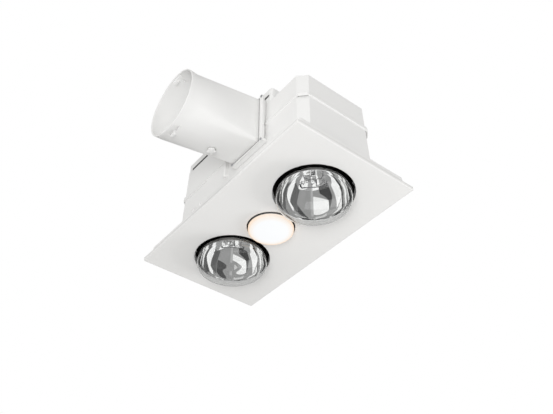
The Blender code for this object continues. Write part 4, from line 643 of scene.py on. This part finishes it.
def turn_rings(name, centre, rings, steps, closed=False):
    """Extrudes a circle through rings of (radius, height) round an upright axis."""
    clear_selection()
    radius, height = rings[0]
    bpy.ops.mesh.primitive_circle_add(vertices=steps, radius=radius,
                                      location=(centre[0], centre[1], height),
                                      fill_type="NGON" if closed else "NOTHING")
    piece = start_piece(name)
    bpy.ops.object.mode_set(mode="EDIT")
    bpy.ops.mesh.select_all(action="SELECT")
    for next_radius, next_height in rings[1:]:
        bpy.ops.mesh.extrude_region_move(
            TRANSFORM_OT_translate={"value": (0, 0, next_height - height)})
        share = next_radius / radius
        bpy.ops.transform.resize(value=(share, share, 1),
                                 center_override=(centre[0], centre[1], next_height))
        radius, height = next_radius, next_height
    if closed:
        bpy.ops.mesh.edge_face_add()
    bpy.ops.object.mode_set(mode="OBJECT")
    return piece


# %% A block
def add_bar(name, low, high, turn=(0, 0, 0)):
    """A block between two corners, turned about its own middle."""
    clear_selection()
    middle = [(a + b) / 2 for a, b in zip(low, high)]
    bpy.ops.mesh.primitive_cube_add(size=1, location=middle, rotation=turn)
    piece = start_piece(name)
    piece.scale = [b - a for a, b in zip(low, high)]
    bpy.ops.object.transform_apply(location=True, rotation=True, scale=True)
    return piece


# %% Select by place
SAME_PLACE = 1e-5


def pick(piece, kind, test):
    """Selects what passes a test on its points, and leaves the piece in edit mode."""
    bpy.context.view_layer.objects.active = piece
    bpy.ops.object.mode_set(mode="EDIT")
    bpy.ops.mesh.select_mode(type=kind)
    bpy.ops.mesh.select_all(action="DESELECT")
    bpy.ops.object.mode_set(mode="OBJECT")
    mesh = piece.data
    kinds = {"VERT": mesh.vertices, "EDGE": mesh.edges, "FACE": mesh.polygons}
    for item in kinds[kind]:
        corners = [item] if kind == "VERT" else [mesh.vertices[n] for n in item.vertices]
        item.select = test([corner.co for corner in corners])
    bpy.ops.object.mode_set(mode="EDIT")


# %% Close, cut and round
def bridge_open_ends():
    """Joins the first and the last loop of the piece in hand, so that its wall is closed."""
    bpy.ops.object.mode_set(mode="EDIT")
    bpy.ops.mesh.select_mode(type="EDGE")
    bpy.ops.mesh.select_all(action="DESELECT")
    bpy.ops.mesh.select_non_manifold()
    bpy.ops.mesh.bridge_edge_loops()
    bpy.ops.object.mode_set(mode="OBJECT")


def cut(piece, cutter):
    """Cuts a piece with another one, and takes that one away."""
    step = piece.modifiers.new("cut", "BOOLEAN")
    step.operation = "DIFFERENCE"
    step.solver = "EXACT"
    step.object = cutter
    bpy.context.view_layer.objects.active = piece
    bpy.ops.object.modifier_apply(modifier=step.name)
    bpy.data.objects.remove(cutter, do_unlink=True)


def soften(piece, width, segments=2, angle=35):
    """Rounds every edge that turns by more than an angle."""
    step = piece.modifiers.new("soften", "BEVEL")
    step.width = width
    step.segments = segments
    step.limit_method = "ANGLE"
    step.angle_limit = math.radians(angle)
    bpy.context.view_layer.objects.active = piece
    bpy.ops.object.modifier_apply(modifier=step.name)


# %% Settle a piece and fit it to its body
MERGE_DISTANCE = 0.000005


def settle(piece, smooth_angle=40):
    """Merges doubles, faces everything outwards and puts the place into the mesh."""
    bpy.context.view_layer.objects.active = piece
    bpy.ops.object.mode_set(mode="EDIT")
    bpy.ops.mesh.select_all(action="SELECT")
    bpy.ops.mesh.remove_doubles(threshold=MERGE_DISTANCE)
    bpy.ops.mesh.normals_make_consistent(inside=False)
    bpy.ops.object.mode_set(mode="OBJECT")
    bpy.ops.object.transform_apply(location=True, rotation=True, scale=True)
    bpy.ops.object.shade_smooth_by_angle(angle=math.radians(smooth_angle))


def fit(piece, material, body):
    """Gives a piece its finish and the body that it moves with."""
    piece.data.materials.clear()
    piece.data.materials.append(material)
    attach(piece, body)
    print(piece.name, "rides on", body, "with", len(piece.data.polygons), "faces")


def fit_moulding(piece, rounding, segments=3):
    """Rounds a white moulding of the housing and fits it."""
    soften(piece, rounding, segments)
    settle(piece)
    fit(piece, HOUSING_WHITE, "housing")


# %% [markdown]
# ## Heat lamps
# A reflector lamp is one blown envelope: a clear front with a rounded rim, and a cone that
# is silvered on its inside down to the neck. The solid has only its outline. Here the front
# and the cone become two pieces that meet just behind the rim, each with its real wall, so
# the glass can be glass and the cone a mirror. Both are turned, as the real ones are blown.

# %% Outline of the cone
CONE_SHARES = [(0.0, 1.0), (0.10, 0.984), (0.24, 0.900), (0.42, 0.715), (0.60, 0.495),
               (0.74, 0.350), (0.88, 0.280), (0.915, 0.262), (0.935, 0.225)]


def cone_slope(index):
    """How fast the radius changes at one of the listed places."""
    low, first = CONE_SHARES[max(index - 1, 0)]
    high, second = CONE_SHARES[min(index + 1, len(CONE_SHARES) - 1)]
    return (second - first) / (high - low)


def cone_ring(share, inset=0.0):
    """The envelope's radius and height at a share of its length, on a smooth curve."""
    for index in range(len(CONE_SHARES) - 1):
        (low, first), (high, second) = CONE_SHARES[index:index + 2]
        if low <= share <= high:
            span = high - low
            part = (share - low) / span
            start, end = cone_slope(index) * span, cone_slope(index + 1) * span
            turn = 3 * (second - first) - 2 * start - end
            bend = 2 * (first - second) + start + end
            radius = first + part * (start + part * (turn + part * bend))
            return radius * BULB_RADIUS - inset, BULB_CENTRE_Z + share * BULB_LENGTH
    raise ValueError("share outside the cone")


print("neck's radius in mm:", round(cone_ring(CONE_SHARES[-1][0])[0] * 1000, 1))

# %% Outline of the front
RIM_RADIUS = 0.0095
RIM_STEPS = 8
FACE_RADIUS = 0.270
FACE_STEPS = 8
FACE_END = 8.4  # more than the steps, so that the last ring leaves a small flat middle


def front_rings(inset):
    """From the widest point round the rim and over the shallow face."""
    rim = RIM_RADIUS - inset
    middle = BULB_RADIUS - RIM_RADIUS
    lean = math.asin(middle / (FACE_RADIUS - RIM_RADIUS))
    rings = []
    for step in range(1, RIM_STEPS + 1):
        angle = (lean - math.pi / 2) * step / RIM_STEPS
        rings.append((middle + rim * math.cos(angle), BULB_CENTRE_Z + rim * math.sin(angle)))
    face_centre = BULB_CENTRE_Z + (FACE_RADIUS - RIM_RADIUS) * math.cos(lean)
    for step in range(1, FACE_STEPS + 1):
        angle = lean * (1 - step / FACE_END)
        rings.append(((FACE_RADIUS - inset) * math.sin(angle),
                      face_centre - (FACE_RADIUS - inset) * math.cos(angle)))
    return rings


print("bulb's lowest ring in mm:", round(front_rings(0.0)[-1][1] * 1000, 1))

# %% Lamp pieces
GLASS_WALL = 0.0011
CLEAR_BAND = 0.05
LAMP_STEPS = 128
CONE_STEPS = 60
CONE_GAP = 0.0002
LAMP_SMOOTHING = 60


def make_lamp(side, x):
    body = side + "_lamp"
    outer = [cone_ring(CLEAR_BAND), cone_ring(0.0)] + front_rings(0.0)
    inner = [cone_ring(CLEAR_BAND, GLASS_WALL), cone_ring(0.0, GLASS_WALL)]
    inner += front_rings(GLASS_WALL)
    front = turn_rings("lamp_front_" + side, (x, 0), outer[::-1] + inner, LAMP_STEPS,
                       closed=True)
    settle(front, LAMP_SMOOTHING)
    fit(front, CLEAR_GLASS, body)
    last = CONE_SHARES[-1][0]
    shares = [CLEAR_BAND + (last - CLEAR_BAND) * step / CONE_STEPS
              for step in range(CONE_STEPS)] + [last]
    outside = [cone_ring(share) for share in shares]
    inside = [cone_ring(share, GLASS_WALL) for share in shares]
    for wall in (outside, inside):
        wall[0] = (wall[0][0], wall[0][1] + CONE_GAP)
    skin = turn_rings("lamp_cone_" + side, (x, 0), outside[::-1] + inside, LAMP_STEPS)
    bridge_open_ends()
    settle(skin, LAMP_SMOOTHING)
    fit(skin, INSIDE_SILVER, body)
    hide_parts("heat_lamp_" + side + "_envelope")
    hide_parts("heat_lamp_" + side + "_envelope")


for side_name, side_x in (("left", -LAMP_X), ("right", LAMP_X)):
    make_lamp(side_name, side_x)

# %% [markdown]
# ## Duct adaptor
# The air leaves through a square neck and ends in a round pipe, so the adaptor changes from
# one outline to the other. The solid does it in flat strips. Here two loops of as many points
# each, a rectangle with rounded corners and a circle, are bridged, which gives one smooth
# skin. It is then given its wall, a rim, the slits of two spring latches and the holes that
# hold the damper's bushes.

# %% Smooth skin of the adaptor
CORNER_ROUNDING = 0.004
CORNER_STEPS = 6
SIDE_CUTS = 17
ROUND_STEPS = 4 * (CORNER_STEPS + 1 + SIDE_CUTS)
SKIN_CUTS = 11
LONG_EDGE = 0.05
DUCT_SMOOTHING = 30


def make_duct_skin():
    clear_selection()
    width, height = (b - a for a, b in zip(ADAPTOR_LOW, ADAPTOR_HIGH))
    middle = (ADAPTOR_LOW[0] + width / 2, FLANGE_FRONT_Y, ADAPTOR_LOW[1] + height / 2)
    bpy.ops.mesh.primitive_plane_add(size=1, location=middle, rotation=(math.pi / 2, 0, 0))
    skin = start_piece("duct_skin")
    skin.scale = (width, height, 1)
    bpy.ops.object.transform_apply(location=True, rotation=True, scale=True)
    bpy.ops.object.mode_set(mode="EDIT")
    bpy.ops.mesh.select_all(action="SELECT")
    bpy.ops.mesh.bevel(offset=CORNER_ROUNDING, segments=CORNER_STEPS, affect="VERTICES")
    bpy.ops.mesh.delete(type="ONLY_FACE")
    pick(skin, "EDGE", lambda spots: (spots[0] - spots[1]).length > LONG_EDGE)
    bpy.ops.mesh.subdivide(number_cuts=SIDE_CUTS)
    bpy.ops.mesh.primitive_circle_add(vertices=ROUND_STEPS, radius=DUCT_RADIUS,
                                      location=(DUCT_X, DUCT_ROUND_Y, DUCT_Z),
                                      rotation=(math.pi / 2, 0, 0))
    bpy.ops.mesh.select_all(action="SELECT")
    bpy.ops.mesh.bridge_edge_loops(number_cuts=SKIN_CUTS, interpolation="LINEAR")
    pick(skin, "EDGE", lambda spots: all(abs(p.y - DUCT_ROUND_Y) < SAME_PLACE for p in spots))
    bpy.ops.mesh.extrude_region_move(
        TRANSFORM_OT_translate={"value": (0, DUCT_MOUTH_Y + DUCT_WALL - DUCT_ROUND_Y, 0)})
    share = DUCT_RIM_RADIUS / DUCT_RADIUS
    bpy.ops.transform.resize(value=(share, 1, share),
                             center_override=(DUCT_X, DUCT_MOUTH_Y + DUCT_WALL, DUCT_Z))
    bpy.ops.mesh.extrude_region_move(TRANSFORM_OT_translate={"value": (0, -DUCT_WALL, 0)})
    bpy.ops.object.mode_set(mode="OBJECT")
    settle(skin, DUCT_SMOOTHING)
    wall = skin.modifiers.new("wall", "SOLIDIFY")
    wall.thickness = DUCT_WALL
    wall.offset = -1
    wall.use_even_offset = True
    bpy.ops.object.modifier_apply(modifier=wall.name)
    return skin


duct_skin = make_duct_skin()
print("duct skin:", len(duct_skin.data.polygons), "faces")

# %% Slits of the latches, and holes for the bushes
SLIT_DEPTH = 0.008
SLITS = [  # angle round the pipe in degrees, place along it, length, width
    (87.5, -0.2244, 0.0250, 0.0019), (84, -0.2120, 0.0032, 0.0028),
    (265.5, -0.2168, 0.0120, 0.0015), (278.5, -0.2140, 0.0110, 0.0015)]
BUSH_HOLE_RADIUS = 0.0068


def add_pipe_bar(name, angle, y, reach, size):
    """A block across the pipe's wall, at an angle in degrees and a reach from its axis."""
    turn = math.radians(angle)
    middle = (DUCT_X + reach * math.cos(turn), y, DUCT_Z + reach * math.sin(turn))
    return add_bar(name, [m - s / 2 for m, s in zip(middle, size)],
                   [m + s / 2 for m, s in zip(middle, size)], (0, math.pi / 2 - turn, 0))


for slit_angle, slit_y, slit_length, slit_width in SLITS:
    cut(duct_skin, add_pipe_bar("cut_slit", slit_angle, slit_y, DUCT_RADIUS,
                                (slit_length, slit_width, SLIT_DEPTH)))
clear_selection()
bpy.ops.mesh.primitive_cylinder_add(vertices=32, radius=BUSH_HOLE_RADIUS, depth=0.2,
                                    location=(DUCT_X, DAMPER_Y, DUCT_Z))
cut(duct_skin, bpy.context.object)
soften(duct_skin, width=0.00035, angle=60)
settle(duct_skin, DUCT_SMOOTHING)
fit(duct_skin, HOUSING_WHITE, "housing")
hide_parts("duct_adaptor")

# %% [markdown]
# Each latch has a small raised pad that a finger presses: one stands out of the pipe, below,
# and one stands into it, above.

# %% Latch tongues
TONGUE_SIZE = (0.0120, 0.0042, 0.0022)
TONGUE_RISE = 0.0006
TONGUES = [  # name, angle round the pipe, place along it, distance from its axis
    ("latch_tongue_low", 262, -0.2118, DUCT_RADIUS + TONGUE_RISE),
    ("latch_tongue_top", 94, -0.2190, DUCT_RADIUS - DUCT_WALL - TONGUE_RISE)]
for tongue_name, tongue_angle, tongue_y, tongue_reach in TONGUES:
    pad = add_pipe_bar(tongue_name, tongue_angle, tongue_y, tongue_reach, TONGUE_SIZE)
    fit_moulding(pad, rounding=0.0007)
    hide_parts("duct_adaptor")

# %% [markdown]
# The adaptor ends in a flat flange, which four small screws hold against the collar. Its
# edges are softened as a moulding's are, so that they catch the light as a thin bright line.
# A thin grey strip in the corner between pipe and flange is painted shade: it shows as a dark
# line all round, where the joint is in shade.
# Both are a block with a hole cut through it, which is the quickest way to a square ring.

# %% Flange of the adaptor
HOLE_FRONT_Y = -0.1
HOLE_BACK_Y = -0.08
FLANGE_HOLE_INSET = 0.0019


def make_square_ring(name, front_y, back_y, low, high, inset):
    """A square ring round the adaptor, whose hole is the adaptor less an inset."""
    ring = add_bar(name, (low[0], front_y, low[1]), (high[0], back_y, high[1]))
    cut(ring, add_bar("cut_hole", (ADAPTOR_LOW[0] + inset, HOLE_FRONT_Y, ADAPTOR_LOW[1] + inset),
                      (ADAPTOR_HIGH[0] - inset, HOLE_BACK_Y, ADAPTOR_HIGH[1] - inset)))
    return ring


duct_flange = make_square_ring("duct_flange", FLANGE_FRONT_Y, FLANGE_BACK_Y, FLANGE_LOW,
                               FLANGE_HIGH, FLANGE_HOLE_INSET)
fit_moulding(duct_flange, rounding=0.0005)
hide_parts("duct_adaptor")

# %% Painted shade line round the foot of the adaptor
SHADE_LINE_FRONT_Y = -0.0907
SHADE_LINE_WIDTH = 0.0007
SHADE_LINE_INSET = 0.0003
duct_shade_line = make_square_ring("duct_foot_shade_line", SHADE_LINE_FRONT_Y, FLANGE_FRONT_Y,
                          [a - SHADE_LINE_WIDTH for a in ADAPTOR_LOW],
                          [a + SHADE_LINE_WIDTH for a in ADAPTOR_HIGH], SHADE_LINE_INSET)
soften(duct_shade_line, width=0.0002)
settle(duct_shade_line)
fit(duct_shade_line, SHADE_LINE_GREY, "housing")

# %% [markdown]
# ## Screws
# A pan-head screw is a turned piece with a cross cut into its head. Its thread is made as
# plain rings, since nobody sees it turn. One screw is modelled at the origin with its tip
# down, from rings of radius and height, and copied to every place with its own mesh.

# %% One screw
SCREW_STEPS = 28
SCREW_TIP = [(0.0005, -0.0056), (0.0011, -0.0050)]
THREAD_CREST = (0.0014, -0.0047)
THREAD_ROOT = (0.0011, -0.0044)
THREAD_PITCH = 0.0007
THREADS = 6
SCREW_HEAD = [(0.0011, 0.0), (0.0024, 0.0), (0.0026, 0.0003), (0.0025, 0.0009),
              (0.0020, 0.0014), (0.0012, 0.0017), (0.0004, 0.00175)]
CROSS_LOW = (-0.0014, -0.00028, 0.0008)
CROSS_HIGH = (0.0014, 0.00028, 0.003)


def make_screw_pattern():
    rings = list(SCREW_TIP)
    for thread in range(THREADS):
        rings += [(radius, height + THREAD_PITCH * thread)
                  for radius, height in (THREAD_CREST, THREAD_ROOT)]
    screw = turn_rings("screw_pattern", (0, 0), rings + SCREW_HEAD, SCREW_STEPS, closed=True)
    settle(screw)
    for quarter in (0, math.pi / 2):
        cut(screw, add_bar("cut_cross", CROSS_LOW, CROSS_HIGH, (0, 0, quarter)))
    settle(screw, smooth_angle=35)
    return screw


screw_pattern = make_screw_pattern()
print("screw pattern:", len(screw_pattern.data.polygons), "faces")

# %% Screws in their places
HEAD_GAP = 0.0001
FLANGE_SCREW_Y = 0.08542
SCREW_SETS = [  # name, the way the heads face, size, places
    ("duct_screw", (0, -1, 0), 1.0,
     [(x, FLANGE_FRONT_Y - HEAD_GAP, z) for x in (0.0057, 0.0868) for z in (0.0642, 0.1718)]),
    ("side_screw", (0, 1, 0), 1.0,
     [(-LAMP_X, 0.0768, 0.1745), (0.070, 0.0768, 0.1745), (-LAMP_X, 0.0806, 0.1099),
      (LAMP_X, 0.0806, 0.1099)]),
    ("flange_screw", (0, 0, -1), 1.4,
     [(x, side * FLANGE_SCREW_Y, -0.0060) for x in (-LAMP_X, 0, LAMP_X) for side in (-1, 1)])]


def place_screw(name, place, outwards, size):
    screw = screw_pattern.copy()
    screw.data = screw_pattern.data.copy()
    screw.name = name
    screw.data.name = name
    bpy.context.scene.collection.objects.link(screw)
    screw.rotation_euler = Vector(outwards).to_track_quat("Z", "Y").to_euler()
    screw.location = place
    screw.scale = (size, size, size)
    clear_selection()
    screw.select_set(True)
    bpy.context.view_layer.objects.active = screw
    bpy.ops.object.transform_apply(location=True, rotation=True, scale=True)
    fit(screw, ZINC, "housing")


for screw_name, head_way, screw_size, screw_places in SCREW_SETS:
    for order, screw_place in enumerate(screw_places):
        place_screw("%s_%d" % (screw_name, order), screw_place, head_way, screw_size)
bpy.data.objects.remove(screw_pattern, do_unlink=True)

# %% [markdown]
# ## Small fittings
# A toothed push-on washer grips the lower end of the damper's spindle. Two small lugs on the
# side wall guide the clamps that hold the housing in the ceiling, and a rounded rib stiffens
# that wall beside the duct. All are too small for the solid model, but they catch the light
# in the picture. The washer is a disc whose edge is pulled in between its teeth, and the
# others are blocks with their edges well rounded.

# %% Toothed washer
WASHER_RADIUS = 0.0080
WASHER_THICKNESS = 0.0022
WASHER_DROP = 0.0004
TOOTH_PITCH = 72
NOTCH_HALF_ANGLE = 13
NOTCH_SHARE = 0.56


def in_notch(spots):
    """Whether points of the washer lie between two teeth."""
    angles = [math.degrees(math.atan2(p.y - DAMPER_Y, p.x - DUCT_X)) for p in spots]
    return all(abs(a % TOOTH_PITCH - TOOTH_PITCH / 2) < NOTCH_HALF_ANGLE for a in angles)


clear_selection()
bush_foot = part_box("damper_lower_bush")[0][2]
bpy.ops.mesh.primitive_cylinder_add(vertices=40, radius=WASHER_RADIUS, depth=WASHER_THICKNESS,
                                    location=(DUCT_X, DAMPER_Y, bush_foot - WASHER_DROP))
washer = start_piece("spindle_washer")
bpy.ops.object.transform_apply(location=True, rotation=True, scale=True)
pick(washer, "VERT", in_notch)
bpy.ops.transform.resize(value=(NOTCH_SHARE, NOTCH_SHARE, 1),
                         center_override=(DUCT_X, DAMPER_Y, bush_foot))
bpy.ops.object.mode_set(mode="OBJECT")
fit_moulding(washer, rounding=0.0005)

# %% Clamp lugs
LUG_FRONT_Y, LUG_BACK_Y = -0.0855, -0.0798
LUG_FOOT_Z, LUG_TOP_Z = 0.034, 0.0525
for lug_name, lug_x0, lug_x1 in (("clamp_lug_wide", -0.119, -0.101),
                                 ("clamp_lug_narrow", -0.128, -0.122)):
    lug = add_bar(lug_name, (lug_x0, LUG_FRONT_Y, LUG_FOOT_Z), (lug_x1, LUG_BACK_Y, LUG_TOP_Z))
    fit_moulding(lug, rounding=0.0010)

# %% Wall rib
RIB_LOW = (-0.0313, -0.0868, 0.0640)
RIB_HIGH = (-0.0237, -0.0790, 0.1060)
fit_moulding(add_bar("wall_rib", RIB_LOW, RIB_HIGH), rounding=0.0034, segments=5)

# %% [markdown]
# ## Seam bead
# The two halves of the housing meet under a bead that runs all round. On the moulding its
# lower edge is sloped, which catches the light as a pale band. An outline with cut corners
# is made from one flat face, then its loop is pulled up and out, level by level, and the
# last loop is joined to the first. The duct passes through it, so that part is cut away.

# %% Bead round the seam
SEAM_HALVES = (0.18296, 0.07846)
SEAM_CHAMFER = 0.0160
BEAD_LEVELS = [  # height, and how far the bead stands out there
    (0.1042, 0.0), (0.1075, 0.0010), (0.1079, 0.0011), (0.1116, 0.0011), (0.1122, 0.0007),
    (0.1122, -0.0006)]
DUCT_CUT_LOW = (ADAPTOR_LOW[0] - 0.002, -0.1, 0.09)
DUCT_CUT_HIGH = (ADAPTOR_HIGH[0] + 0.006, -0.07, 0.12)
BEAD_SMOOTHING = 30


def make_seam_bead():
    height, reach = BEAD_LEVELS[0]
    clear_selection()
    bpy.ops.mesh.primitive_plane_add(size=2, location=(0, 0, height))
    bead = start_piece("seam_bead")
    bead.scale = (*SEAM_HALVES, 1)
    bpy.ops.object.transform_apply(location=True, rotation=True, scale=True)
    bpy.ops.object.mode_set(mode="EDIT")
    bpy.ops.mesh.select_all(action="SELECT")
    bpy.ops.mesh.bevel(offset=SEAM_CHAMFER * math.sqrt(0.5), affect="VERTICES")
    bpy.ops.mesh.select_all(action="SELECT")
    bpy.ops.mesh.delete(type="ONLY_FACE")
    bpy.ops.mesh.select_all(action="SELECT")
    for new_height, new_reach in BEAD_LEVELS[1:]:
        bpy.ops.mesh.extrude_edges_move(
            TRANSFORM_OT_translate={"value": (0, 0, new_height - height)})
        grow = [(half + new_reach) / (half + reach) for half in SEAM_HALVES]
        bpy.ops.transform.resize(value=(*grow, 1), center_override=(0, 0, new_height))
        height, reach = new_height, new_reach
    bridge_open_ends()
    settle(bead, BEAD_SMOOTHING)
    cut(bead, add_bar("cut_duct", DUCT_CUT_LOW, DUCT_CUT_HIGH))
    settle(bead, BEAD_SMOOTHING)
    fit(bead, HOUSING_WHITE, "housing")


make_seam_bead()

# %% [markdown]
# ## Painted shade under the lid
# A black strip lies in the slot under the lid as painted shade: it makes the slot as dark as
# the shade inside it. Its section is pulled along the long side and then spun round the corner.

# %% Painted shade strip under the lid
SHADE_STRIP_FACE = 0.0769
SHADE_STRIP_DEPTH = 0.0026
SHADE_STRIP_BOTTOM = 0.1773
SHADE_STRIP_TOP = 0.1822
SHADE_STRIP_START = -0.1545
SHADE_STRIP_CORNER = (0.0906, -0.0694)
SHADE_STRIP_TURN = 80
shade_strip = add_bar("lid_shade_strip", (SHADE_STRIP_START, -SHADE_STRIP_FACE, SHADE_STRIP_BOTTOM),
               (SHADE_STRIP_CORNER[0], SHADE_STRIP_DEPTH - SHADE_STRIP_FACE, SHADE_STRIP_TOP))
pick(shade_strip, "FACE", lambda spots: all(p.x > SHADE_STRIP_CORNER[0] - SAME_PLACE for p in spots))
bpy.ops.mesh.spin(steps=8, angle=math.radians(SHADE_STRIP_TURN), center=(*SHADE_STRIP_CORNER, 0),
                  axis=(0, 0, 1))
bpy.ops.object.mode_set(mode="OBJECT")
soften(shade_strip, width=0.0004)
settle(shade_strip)
# Black as painted shade for the slot under the lid.
fit(shade_strip, RUBBER_AND_SHADE_BLACK, "housing")
strip_low, strip_high = shade_strip.bound_box[0], shade_strip.bound_box[6]
print("lid seal in mm:", [round((b - a) * 1000, 1) for a, b in zip(strip_low, strip_high)])
